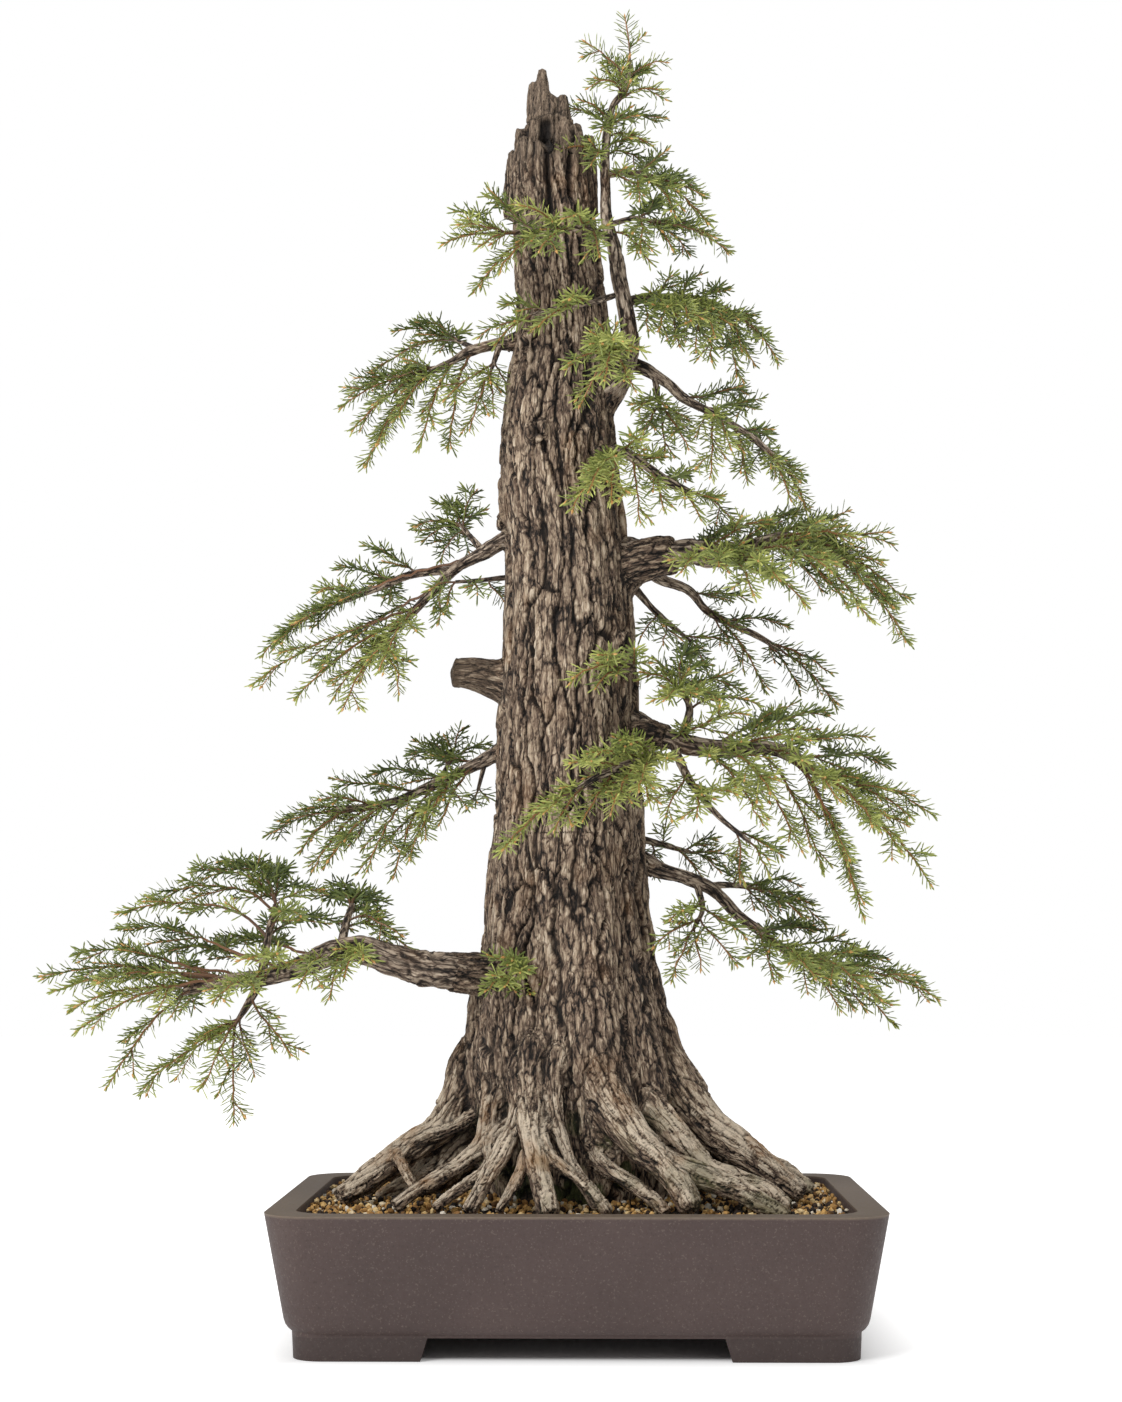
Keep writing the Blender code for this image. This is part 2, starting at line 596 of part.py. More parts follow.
# Each branch leaves the trunk at a height above the soil and an azimuth. Its route
# and its sprays' tips are offsets from the point where it leaves the bark. A fan is
# where sprays spread: at the route's end, or on a side twig that starts at a point
# of the route. A spray is a tip, a half width and a half thickness.
BRANCHES = {
    "low_left": {
        "height": 0.176,
        "azimuth": 205,
        "radii": (0.0150, 0.0050),
        "route": [
            (-0.051, -0.021, 0.004),
            (-0.081, -0.026, 0.012),
            (-0.106, -0.021, 0.019),
            (-0.127, -0.016, 0.013),
            (-0.170, -0.011, -0.002),
        ],
        "fans": {
            "": {
                "sprays": [
                    ((-0.345, -0.001, -0.004), 0.036, 0.014),
                    ((-0.262, 0.034, 0.062), 0.030, 0.013),
                    ((-0.287, -0.046, -0.084), 0.026, 0.013),
                    ((-0.191, -0.055, -0.110), 0.024, 0.012),
                    ((-0.135, 0.042, 0.064), 0.026, 0.012),
                ],
            },
        },
    },
    "left_second": {
        "height": 0.347,
        "azimuth": 170,
        "radii": (0.0050, 0.0034),
        "route": [(-0.028, 0.004, -0.008), (-0.060, 0.010, -0.024)],
        "fans": {
            "": {
                "sprays": [
                    ((-0.185, 0.020, -0.061), 0.028, 0.012),
                    ((-0.132, -0.040, -0.084), 0.024, 0.012),
                    ((-0.040, -0.010, -0.062), 0.020, 0.010),
                    ((-0.052, 0.066, 0.016), 0.024, 0.012),
                ],
            },
        },
    },
    "left_third": {
        "height": 0.523,
        "azimuth": 190,
        "radii": (0.0056, 0.0040),
        "route": [(-0.032, 0.000, -0.024), (-0.066, 0.005, -0.052)],
        "fans": {
            "": {
                "sprays": [
                    ((-0.182, 0.026, -0.083), 0.028, 0.012),
                    ((-0.197, -0.022, -0.123), 0.026, 0.012),
                    ((-0.115, -0.042, -0.142), 0.024, 0.012),
                    ((-0.056, 0.052, 0.026), 0.026, 0.012),
                ],
            },
        },
    },
    "left_fourth": {
        "height": 0.678,
        "azimuth": 188,
        "radii": (0.0052, 0.0036),
        "route": [(-0.026, -0.004, -0.002), (-0.052, -0.007, -0.014)],
        "fans": {
            "": {
                "sprays": [
                    ((-0.143, 0.006, -0.051), 0.026, 0.012),
                    ((-0.102, 0.044, 0.020), 0.024, 0.011),
                    ((-0.120, -0.034, -0.102), 0.022, 0.011),
                    ((-0.055, -0.024, -0.087), 0.020, 0.010),
                ],
            },
        },
    },
    "leader": {
        "height": 0.647,
        "azimuth": 335,
        "radii": (0.0080, 0.0020),
        "route": [
            (0.025, 0.002, 0.032),
            (0.018, 0.004, 0.066),
            (0.012, 0.005, 0.094),
            (0.006, 0.008, 0.123),
            (0.005, 0.012, 0.193),
            (0.012, 0.016, 0.228),
            (0.026, 0.017, 0.250),
        ],
        "fans": {
            "": {
                "sprays": [
                    ((0.020, 0.017, 0.302), 0.013, 0.010),
                    ((-0.010, 0.022, 0.280), 0.015, 0.010),
                    ((0.048, 0.010, 0.266), 0.017, 0.010),
                ],
            },
            "crown": {
                "from": 5,
                "twig": [(0.012, 0.010, 0.006)],
                "sprays": [
                    ((0.076, 0.006, 0.158), 0.026, 0.011),
                    ((0.002, 0.064, 0.172), 0.018, 0.010),
                    ((0.060, 0.062, 0.170), 0.024, 0.011),
                ],
            },
            "across": {
                "from": 4,
                "twig": [(-0.012, -0.036, 0.004), (-0.040, -0.046, 0.000)],
                "sprays": [
                    ((-0.124, -0.040, 0.096), 0.022, 0.010),
                    ((-0.094, -0.052, 0.062), 0.020, 0.010),
                ],
            },
            "right": {
                "from": 2,
                "twig": [(0.030, 0.020, 0.004), (0.056, 0.026, 0.004)],
                "sprays": [
                    ((0.128, 0.034, 0.036), 0.024, 0.011),
                    ((0.138, 0.004, 0.018), 0.022, 0.011),
                    ((0.076, -0.016, 0.022), 0.020, 0.010),
                ],
            },
        },
    },
    "right_fourth": {
        "height": 0.640,
        "azimuth": 12,
        "radii": (0.0046, 0.0034),
        "route": [(0.026, 0.000, -0.008), (0.066, -0.010, -0.026)],
        "fans": {
            "": {
                "sprays": [
                    ((0.159, -0.016, -0.108), 0.028, 0.012),
                    ((0.116, 0.040, -0.034), 0.024, 0.012),
                    ((0.072, -0.062, -0.066), 0.024, 0.012),
                ],
            },
        },
    },
    "front_upper": {
        "height": 0.578,
        "azimuth": 300,
        "radii": (0.0050, 0.0036),
        "route": [(0.014, -0.016, -0.004), (0.034, -0.026, -0.012)],
        "fans": {
            "": {
                "sprays": [
                    ((0.110, -0.006, -0.040), 0.022, 0.011),
                    ((-0.012, -0.056, -0.046), 0.020, 0.011),
                ],
            },
        },
    },
    "right_third": {
        "height": 0.503,
        "azimuth": 345,
        "radii": (0.0140, 0.0070),
        "route": [
            (0.026, -0.008, 0.000),
            (0.054, -0.014, -0.001),
            (0.084, -0.017, -0.002),
            (0.108, -0.017, 0.006),
        ],
        "fans": {
            "": {
                "sprays": [
                    ((0.215, 0.018, 0.008), 0.032, 0.012),
                    ((0.222, -0.022, -0.050), 0.032, 0.013),
                    ((0.140, -0.072, -0.048), 0.030, 0.012),
                    ((0.162, 0.052, 0.014), 0.026, 0.011),
                ],
            },
        },
    },
    "right_behind": {
        "height": 0.488,
        "azimuth": 38,
        "radii": (0.0042, 0.0030),
        "route": [(0.034, 0.018, -0.008), (0.086, 0.036, -0.036)],
        "fans": {
            "": {
                "sprays": [
                    ((0.178, 0.050, -0.098), 0.024, 0.011),
                    ((0.150, 0.078, -0.044), 0.022, 0.011),
                    ((0.076, 0.010, -0.092), 0.020, 0.010),
                ],
            },
        },
    },
    "front_sprig": {
        "height": 0.415,
        "azimuth": 292,
        "radii": (0.0032, 0.0024),
        "route": [(0.004, -0.016, 0.000)],
        "fans": {"": {"sprays": [((-0.026, -0.046, -0.010), 0.014, 0.008)]}},
    },
    "right_second": {
        "height": 0.380,
        "azimuth": 350,
        "radii": (0.0095, 0.0060),
        "route": [(0.034, -0.014, -0.018), (0.070, -0.030, -0.034), (0.104, -0.040, -0.036)],
        "fans": {
            "": {
                "sprays": [
                    ((0.179, 0.016, -0.024), 0.030, 0.012),
                    ((0.232, -0.012, -0.085), 0.032, 0.013),
                    ((0.222, -0.046, -0.139), 0.028, 0.012),
                    ((0.160, -0.076, -0.158), 0.026, 0.012),
                    ((0.094, -0.080, -0.120), 0.022, 0.011),
                ],
            },
        },
    },
    "front_low": {
        "height": 0.348,
        "azimuth": 300,
        "radii": (0.0050, 0.0038),
        "route": [(0.010, -0.022, -0.006), (0.004, -0.040, -0.018)],
        "fans": {
            "": {
                "sprays": [
                    ((-0.076, -0.068, -0.082), 0.022, 0.011),
                    ((0.012, -0.066, -0.058), 0.020, 0.010),
                ],
            },
        },
    },
    "right_low": {
        "height": 0.258,
        "azimuth": 0,
        "radii": (0.0062, 0.0044),
        "route": [(0.028, 0.000, -0.006), (0.052, -0.004, -0.014), (0.084, -0.010, -0.048)],
        "fans": {
            "": {
                "sprays": [
                    ((0.222, -0.030, -0.102), 0.030, 0.012),
                    ((0.150, 0.034, -0.044), 0.026, 0.012),
                    ((0.168, -0.062, -0.114), 0.024, 0.012),
                    ((0.040, -0.050, -0.090), 0.022, 0.011),
                ],
            },
        },
    },
    "back_high": {
        "height": 0.610,
        "azimuth": 96,
        "radii": (0.0062, 0.0040),
        "route": [(-0.002, 0.030, 0.000), (0.002, 0.062, -0.010)],
        "fans": {
            "": {
                "sprays": [
                    ((0.016, 0.150, -0.060), 0.026, 0.012),
                    ((-0.024, 0.110, -0.072), 0.022, 0.012),
                ],
            },
        },
    },
    "back_middle": {
        "height": 0.446,
        "azimuth": 84,
        "radii": (0.0080, 0.0050),
        "route": [(0.004, 0.034, 0.002), (0.002, 0.070, -0.010)],
        "fans": {
            "": {
                "sprays": [
                    ((0.020, 0.166, -0.066), 0.030, 0.012),
                    ((-0.024, 0.136, -0.090), 0.026, 0.012),
                ],
            },
        },
    },
    "back_low": {
        "height": 0.292,
        "azimuth": 102,
        "radii": (0.0090, 0.0050),
        "route": [(-0.004, 0.036, 0.004), (0.006, 0.074, -0.010)],
        "fans": {
            "": {
                "sprays": [
                    ((0.030, 0.160, -0.070), 0.032, 0.012),
                    ((-0.024, 0.150, -0.086), 0.028, 0.012),
                ],
            },
        },
    },
}

ROUTE_STEPS = 2
SPRAY_STEPS = 2
SPRAY_SIDES = 6
# half width and half thickness of a spray along its length, as shares of the widest
SPRAY_SHAPE = [(0.40, 0.66), (0.92, 1.0), (1.0, 0.95), (0.66, 0.66), (0.14, 0.2)]


def spray_route(start, tip):
    """From the fan to the tip, arched a little so that the end hangs."""
    span = tip - start
    middle = start + 0.5 * span + Vector((0, 0, 0.10 * span.length))
    return smooth_route([start - 0.10 * span, middle, tip], SPRAY_STEPS)


def spray_rings(start, spray):
    tip, half_width, half_thick = spray
    route = spray_route(start, tip)
    rings = []
    for point, tangent, (wide, thick) in zip(route, directions(route), SPRAY_SHAPE):
        across = tangent.cross(Vector((0, 0, 1))).normalized()
        lifted = across.cross(tangent).normalized()
        rings.append(
            [
                point
                + wide * half_width * math.cos(math.tau * k / SPRAY_SIDES) * across
                + thick * half_thick * math.sin(math.tau * k / SPRAY_SIDES) * lifted
                for k in range(SPRAY_SIDES)
            ]
        )
    return rings


def branch_points(branch):
    """The bark point, and the route from inside the trunk to the branch's end."""
    base = trunk_surface(branch["height"], branch["azimuth"])
    butt = base - BUTT_DEPTH * outward(branch["azimuth"])
    return base, [butt, base, *(base + Vector(offset) for offset in branch["route"])]


def wood_tubes(branch):
    """The routes, radii and side counts of a branch's wood, and each fan's place."""
    base, points = branch_points(branch)
    start_radius, end_radius = branch["radii"]
    route = smooth_route(points, ROUTE_STEPS)
    tubes = [(route, share_radii(len(route), start_radius, end_radius), BRANCH_SIDES)]
    places = {}
    for name, fan in branch["fans"].items():
        place = points[-1]
        if "from" in fan:
            origin = points[fan["from"] + 1]
            twig = [origin, *(origin + Vector(offset) for offset in fan["twig"])]
            path = smooth_route(twig, ROUTE_STEPS)
            tubes.append((path, share_radii(len(path), 1.3 * TWIG_RADIUS, TWIG_RADIUS), TWIG_SIDES))
            place = twig[-1]
        places[name] = place
        for tip, _, _ in fan["sprays"]:
            path = spray_route(place, base + Vector(tip))
            tubes.append(([place, path[SPRAY_STEPS]], [TWIG_RADIUS, 0.6 * TWIG_RADIUS], TWIG_SIDES))
    return base, tubes, places


def make_branch(name, branch, materials, parent, sockets):
    base, tubes, places = wood_tubes(branch)
    node = name if name == "leader" else f"branch_{name}"
    twigs = helper_collection(f"{name}_twigs")
    grown = helper_collection(f"{name}_grown")
    for number, (route, radii, sides) in enumerate(tubes):
        bm = bmesh.new()
        add_loft(bm, tube_rings(route, radii, sides))
        if number == 0:
            wood = object_from(bm, node, materials["branch"], parent)
        else:
            object_from(bm, f"{name}_twig_{number}", materials["branch"], parent, twigs)
        bm = bmesh.new()
        wider = [radius + LEAF_GAP for radius in radii]
        add_loft(bm, tube_rings(route, wider, sides))
        object_from(bm, f"{name}_grown_{number}", materials["branch"], parent, grown)
    hide_helpers(twigs)
    hide_helpers(grown)
    boolean(wood, "UNION", "twigs", twigs)
    shade_smooth(wood, 50)

    bm = bmesh.new()
    route, radii, sides = tubes[0]
    count = 2 * ROUTE_STEPS + 1
    start = route[0] - SEAT_GAP * outward(branch["azimuth"])
    wider = [radius + SEAT_GAP for radius in radii]
    add_loft(bm, tube_rings([start, *route[1:count]], wider[:count], sides))
    object_from(bm, f"{name}_socket", materials["branch"], parent, sockets)

    for fan_name, fan in branch["fans"].items():
        sprays = helper_collection(f"{name}_{fan_name}_sprays")
        foliage = None
        for number, (tip, half_width, half_thick) in enumerate(fan["sprays"]):
            spray = (base + Vector(tip), half_width, half_thick)
            bm = bmesh.new()
            add_loft(bm, spray_rings(places[fan_name], spray))
            if foliage is None:
                label = "_".join(part for part in ("foliage", name, fan_name) if part)
                foliage = object_from(bm, label, materials["foliage"], parent)
            else:
                helper = f"{name}_{fan_name}_spray_{number}"
                object_from(bm, helper, materials["foliage"], parent, sprays)
        hide_helpers(sprays)
        if len(fan["sprays"]) > 1:
            boolean(foliage, "UNION", "sprays", sprays)
        boolean(foliage, "DIFFERENCE", "wood", grown)
        shade_smooth(foliage, 60)


def centre_on_origin(parent):
    """Moves everything so that the origin lies under the middle of the whole."""
    bpy.context.view_layer.update()
    graph = bpy.context.evaluated_depsgraph_get()
    low = Vector((math.inf, math.inf, math.inf))
    high = -low
    for obj in bpy.context.scene.objects:
        if obj.type != "MESH" or obj.hide_render:
            continue
        evaluated = obj.evaluated_get(graph)
        mesh = evaluated.to_mesh()
        for vertex in mesh.vertices:
            place = evaluated.matrix_world @ vertex.co
            low = Vector(map(min, low, place))
            high = Vector(map(max, high, place))
        evaluated.to_mesh_clear()
    parent.location = (-(low.x + high.x) / 2, -(low.y + high.y) / 2, -low.z)


def main():
    clear_scene()
    materials = make_materials()
    parent = bpy.data.objects.new("bonsai", None)
    bpy.context.scene.collection.objects.link(parent)
    make_pot(materials["pot"], parent)
    make_screens(materials["screen"], parent)
    make_soil(materials["soil"], parent, make_crown_cutter(materials["bark"], parent))
    sockets = helper_collection("sockets")
    for name, branch in BRANCHES.items():
        make_branch(name, branch, materials, parent, sockets)
    hide_helpers(sockets)
    make_trunk(materials["bark"], parent, sockets)
    centre_on_origin(parent)


main()
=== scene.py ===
import math

import bpy
import numpy as np
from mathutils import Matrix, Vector
from mathutils.bvhtree import BVHTree


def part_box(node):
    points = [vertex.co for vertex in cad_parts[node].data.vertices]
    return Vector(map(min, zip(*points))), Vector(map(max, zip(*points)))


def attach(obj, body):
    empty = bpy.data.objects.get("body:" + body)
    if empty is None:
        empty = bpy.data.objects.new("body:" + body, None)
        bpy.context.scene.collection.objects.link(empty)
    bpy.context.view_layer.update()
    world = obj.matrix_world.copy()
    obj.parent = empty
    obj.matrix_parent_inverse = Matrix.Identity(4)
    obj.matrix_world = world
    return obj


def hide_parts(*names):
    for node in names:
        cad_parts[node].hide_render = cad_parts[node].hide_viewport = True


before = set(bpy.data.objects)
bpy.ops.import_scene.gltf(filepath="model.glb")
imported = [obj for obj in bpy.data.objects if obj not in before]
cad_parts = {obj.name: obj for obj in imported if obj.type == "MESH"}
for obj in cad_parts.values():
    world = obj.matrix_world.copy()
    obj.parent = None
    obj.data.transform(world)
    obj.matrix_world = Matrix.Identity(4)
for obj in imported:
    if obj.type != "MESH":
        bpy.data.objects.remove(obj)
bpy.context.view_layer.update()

potLow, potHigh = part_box("pot")
# the pot's middle, on the floor
home = np.array([(potLow.x + potHigh.x) / 2, (potLow.y + potHigh.y) / 2, 0.0])
mm = 0.001


def clearSelection():
    if bpy.context.mode != "OBJECT":
        bpy.ops.object.mode_set(mode="OBJECT")
    bpy.ops.object.select_all(action="DESELECT")


def selectOnly(piece):
    clearSelection()
    piece.select_set(True)
    bpy.context.view_layer.objects.active = piece


def applyAll(piece):
    selectOnly(piece)
    for modifier in list(piece.modifiers):
        bpy.ops.object.modifier_apply(modifier=modifier.name)


def readMesh(piece):
    mesh = piece.data
    mesh.calc_loop_triangles()
    points = np.empty(len(mesh.vertices) * 3)
    mesh.vertices.foreach_get("co", points)
    faces = np.empty(len(mesh.loop_triangles) * 3, np.int64)
    mesh.loop_triangles.foreach_get("vertices", faces)
    return points.reshape(-1, 3), faces.reshape(-1, 3)


def meshPiece(name, points, faces, smooth=True):
    mesh = bpy.data.meshes.new(name)
    mesh.vertices.add(len(points))
    mesh.vertices.foreach_set("co", np.asarray(points, np.float32).ravel())
    mesh.loops.add(len(faces) * 3)
    mesh.loops.foreach_set("vertex_index", np.asarray(faces, np.int32).ravel())
    mesh.polygons.add(len(faces))
    mesh.polygons.foreach_set("loop_start", np.arange(len(faces), dtype=np.int32) * 3)
    mesh.update(calc_edges=True)
    if smooth:
        mesh.shade_smooth()
    else:
        mesh.shade_flat()
    piece = bpy.data.objects.new(name, mesh)
    bpy.context.scene.collection.objects.link(piece)
    return piece


def addValues(piece, name, values):
    made = piece.data.attributes.new(name, "FLOAT", "POINT")
    made.data.foreach_set("value", np.asarray(values, np.float32).ravel())


def addVectors(piece, name, values):
    made = piece.data.attributes.new(name, "FLOAT_VECTOR", "POINT")
    made.data.foreach_set("vector", np.asarray(values, np.float32).ravel())


def finishPiece(piece, finish, node):
    piece.data.materials.clear()
    piece.data.materials.append(finish)
    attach(piece, "root")
    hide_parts(node)


def joinParts(parts):
    # parts are (points, triangles, values), and one of each is made out of many
    points, faces, values, shift = [], [], [], 0
    for partPoints, partFaces, partValues in parts:
        points.append(partPoints)
        faces.append(partFaces + shift)
        values.append(partValues)
        shift += len(partPoints)
    return np.concatenate(points), np.concatenate(faces), np.concatenate(values)


def lengthAlong(route):
    # how far along the route each of its points is
    return np.concatenate([[0], np.cumsum(np.linalg.norm(np.diff(route, axis=0), axis=1))])


def smoothRoute(points, step):
    # evenly spaced points on a smooth curve through the given ones
    given = np.asarray(points, float)
    padded = np.vstack([2 * given[0] - given[1], given, 2 * given[-1] - given[-2]])
    fine = []
    for index in range(len(given) - 1):
        a, b, c, d = padded[index:index + 4]
        share = np.linspace(0, 1, 24, endpoint=False)[:, None]
        fine.append(0.5 * (2 * b + (c - a) * share + (2 * a - 5 * b + 4 * c - d) * share ** 2
                           + (3 * b - a - 3 * c + d) * share ** 3))
    fine = np.vstack(fine + [given[-1:]])
    gone = lengthAlong(fine)
    count = max(3, int(round(gone[-1] / step)) + 1)
    return alongAt(np.linspace(0, gone[-1], count), gone, fine)


def alongAt(wanted, gone, vectors):
    # the vectors' values at the wanted lengths
    return np.stack([np.interp(wanted, gone, vectors[:, axis]) for axis in range(3)], axis=-1)


def unit(vectors):
    return vectors / np.maximum(np.linalg.norm(vectors, axis=-1, keepdims=True), 1e-12)


def routeFrames(points, up=(0.0, 0.0, 1.0)):
    # tangent, side and top at each point, carried along without a twist
    tangent = unit(np.gradient(points, axis=0))
    top = np.asarray(up, float)
    if abs(tangent[0] @ unit(top)) > 0.95:
        top = np.array([0.0, -1.0, 0.0])
    tops = np.empty_like(tangent)
    for index, direction in enumerate(tangent):
        top = top - direction * (top @ direction)
        top = top / max(np.linalg.norm(top), 1e-9)
        tops[index] = top
    return tangent, np.cross(tangent, tops), tops


# noise that comes out the same in each run
def cellRandom(cells, salt):
    mixed = cells[..., 0] * 73856093 ^ cells[..., 1] * 19349663 ^ cells[..., 2] * 83492791 ^ salt * 2654435
    mixed = (mixed ^ (mixed >> 13)) * 1274126177
    mixed = (mixed ^ (mixed >> 15)) * 461845907
    return ((mixed ^ (mixed >> 16)) & 0xffffff) / 0xffffff


def softNoise(points, salt=0):
    low = np.floor(points).astype(np.int64)
    share = points - low
    share = share * share * share * (share * (share * 6 - 15) + 10)
    total = 0
    for corner in np.ndindex(2, 2, 2):
        weight = np.prod(np.where(corner, share, 1 - share), axis=-1)
        total = total + weight * cellRandom(low + np.array(corner), salt)
    return total * 2 - 1


def layeredNoise(points, layers=3, salt=0):
    total, size = 0, 1.0
    for layer in range(layers):
        total = total + softNoise(points * 2 ** layer + layer * 7.3, salt + layer) * size
        size *= 0.5
    return total


def barkCells(around, along, count, salt):
    # plates laid round a strand, with the count of them in one turn: how far the place is from the edge of
    # its plate, the plate's random value, and how far up or down its centre is
    lowAround, lowAlong = np.floor(around).astype(np.int64), np.floor(along).astype(np.int64)
    nearest = np.full((2, len(around)), 9.0)
    offset = np.zeros((2, 2, len(around)))
    tone = np.zeros(len(around))
    for stepAround, stepAlong in np.ndindex(3, 3):
        cellAround = lowAround + stepAround - 1
        cellAlong = lowAlong + stepAlong - 1
        cell = np.stack([cellAround % count, cellAlong, cellAlong * 0], axis=1)
        own = np.stack([around - cellAround - cellRandom(cell, salt),
                        along - cellAlong - cellRandom(cell, salt + 1)])
        distance = np.hypot(own[0], own[1])
        first = distance < nearest[0]
        second = ~first & (distance < nearest[1])
        offset[1] = np.where(first, offset[0], np.where(second, own, offset[1]))
        nearest[1] = np.where(first, nearest[0], np.where(second, distance, nearest[1]))
        offset[0] = np.where(first, own, offset[0])
        nearest[0] = np.where(first, distance, nearest[0])
        tone = np.where(first, cellRandom(cell, salt + 5), tone)
    between = np.abs(offset[0] - offset[1])
    # a plate is much longer than wide, so the furrow at its ends is drawn narrower to match its sides
    gap = (nearest[1] - nearest[0]) * (1 + 4 * between[1] / (between.sum(0) + 1e-6))
    return gap, tone, offset[0][1]


def ramp(values, low, high):
    share = np.clip((values - low) / (high - low), 0, 1)
    return share * share * (3 - 2 * share)


def paint(red, green, blue):
    # a colour given from 0 to 255 as a screen shows it
    shares = [value / 255 for value in (red, green, blue)]
    return tuple(c / 12.92 if c <= 0.04045 else ((c + 0.055) / 1.055) ** 2.4 for c in shares) + (1.0,)


def newFinish(name, roughness, **more):
    made = bpy.data.materials.new(name)
    made.use_nodes = True
    shader = made.node_tree.nodes["Principled BSDF"]
    shader.inputs["Roughness"].default_value = roughness
    for key, value in more.items():
        shader.inputs[key].default_value = value
    return made, made.node_tree, shader


def addNode(tree, kind, inputs=None, **settings):
    made = tree.nodes.new(kind)
    for key, value in settings.items():
        setattr(made, key, value)
    setOrLink(tree, made, (inputs or {}).items())
    return made


def objectPlace(tree):
    return addNode(tree, "ShaderNodeTexCoord").outputs["Object"]


def carried(tree, name, output="Fac"):
    # what the mesh itself carries under this name
    return addNode(tree, "ShaderNodeAttribute", attribute_name=name).outputs[output]


def rampNode(tree, source, stops):
    made = tree.nodes.new("ShaderNodeValToRGB")
    tree.links.new(source, made.inputs["Fac"])
    bands = made.color_ramp.elements
    while len(bands) < len(stops):
        bands.new(0.5)
    for band, (place, colour) in zip(bands, stops):
        band.position = place
        band.color = colour
    return made.outputs["Color"]


def setOrLink(tree, made, pairs):
    for index, value in pairs:
        if isinstance(value, bpy.types.NodeSocket):
            tree.links.new(value, made.inputs[index])
        else:
            made.inputs[index].default_value = value


def mixNode(tree, share, first, second, blend="MIX"):
    made = tree.nodes.new("ShaderNodeMix")
    made.data_type = "RGBA"
    made.blend_type = blend
    setOrLink(tree, made, ((0, share), (6, first), (7, second)))
    return made.outputs[2]


def mathNode(tree, operation, first, second=0.5, clamp=False):
    made = tree.nodes.new("ShaderNodeMath")
    made.operation = operation
    made.use_clamp = clamp
    setOrLink(tree, made, ((0, first), (1, second)))
    return made.outputs[0]


def noiseNode(tree, vector, scale, detail=4.0, roughness=0.55):
    made = addNode(tree, "ShaderNodeTexNoise", {"Vector": vector, "Scale": scale, "Detail": detail,
                                                "Roughness": roughness})
    return made.outputs["Fac"]


def stretched(tree, vector, scale):
    return addNode(tree, "ShaderNodeMapping", {"Vector": vector, "Scale": scale}).outputs["Vector"]


def platesNode(tree, vector, scale, bendScale, detail):
    # the distance to the edge of uneven plates with wavy edges
    noise = {"Vector": stretched(tree, vector, bendScale), "Scale": 1.0, "Detail": detail}
    bend = addNode(tree, "ShaderNodeTexNoise", noise).outputs["Color"]
    bent = addNode(tree, "ShaderNodeVectorMath", {0: stretched(tree, vector, scale), 1: bend})
    plates = addNode(tree, "ShaderNodeTexVoronoi", {"Vector": bent.outputs["Vector"], "Scale": 1.0},
                     feature="DISTANCE_TO_EDGE")
    return plates.outputs["Distance"]


def addBump(tree, shader, height, distance, strength=1.0):
    made = addNode(tree, "ShaderNodeBump", {"Height": height, "Distance": distance, "Strength": strength})
    tree.links.new(made.outputs["Normal"], shader.inputs["Normal"])


camera = {"place": (0.0152, -1.89, 0.293), "turn": (math.pi / 2 + 0.1023, 0.0, 0.0149), "lens": 61.63,
          "sensor": 36.0}
studio = {"floor": 6.0, "floorLevel": -0.0002, "backdrop": 1.0, "sky": 0.42, "floorGlow": 0.64,
          "paintedShadowHalf": (0.190, 0.130), "paintedShadowEdge": 16.0, "paintedShadowPower": 0.6, "aim": (0, 0, 0.45)}
lamps = {  # strength, place and size
    "key": (60.0, (-1.6, -1.9, 2.2), 1.5), "fill": (5.0, (2.0, -1.6, 1.2), 2.0),
    "top": (16.0, (0.2, 0.9, 2.6), 2.0),
}


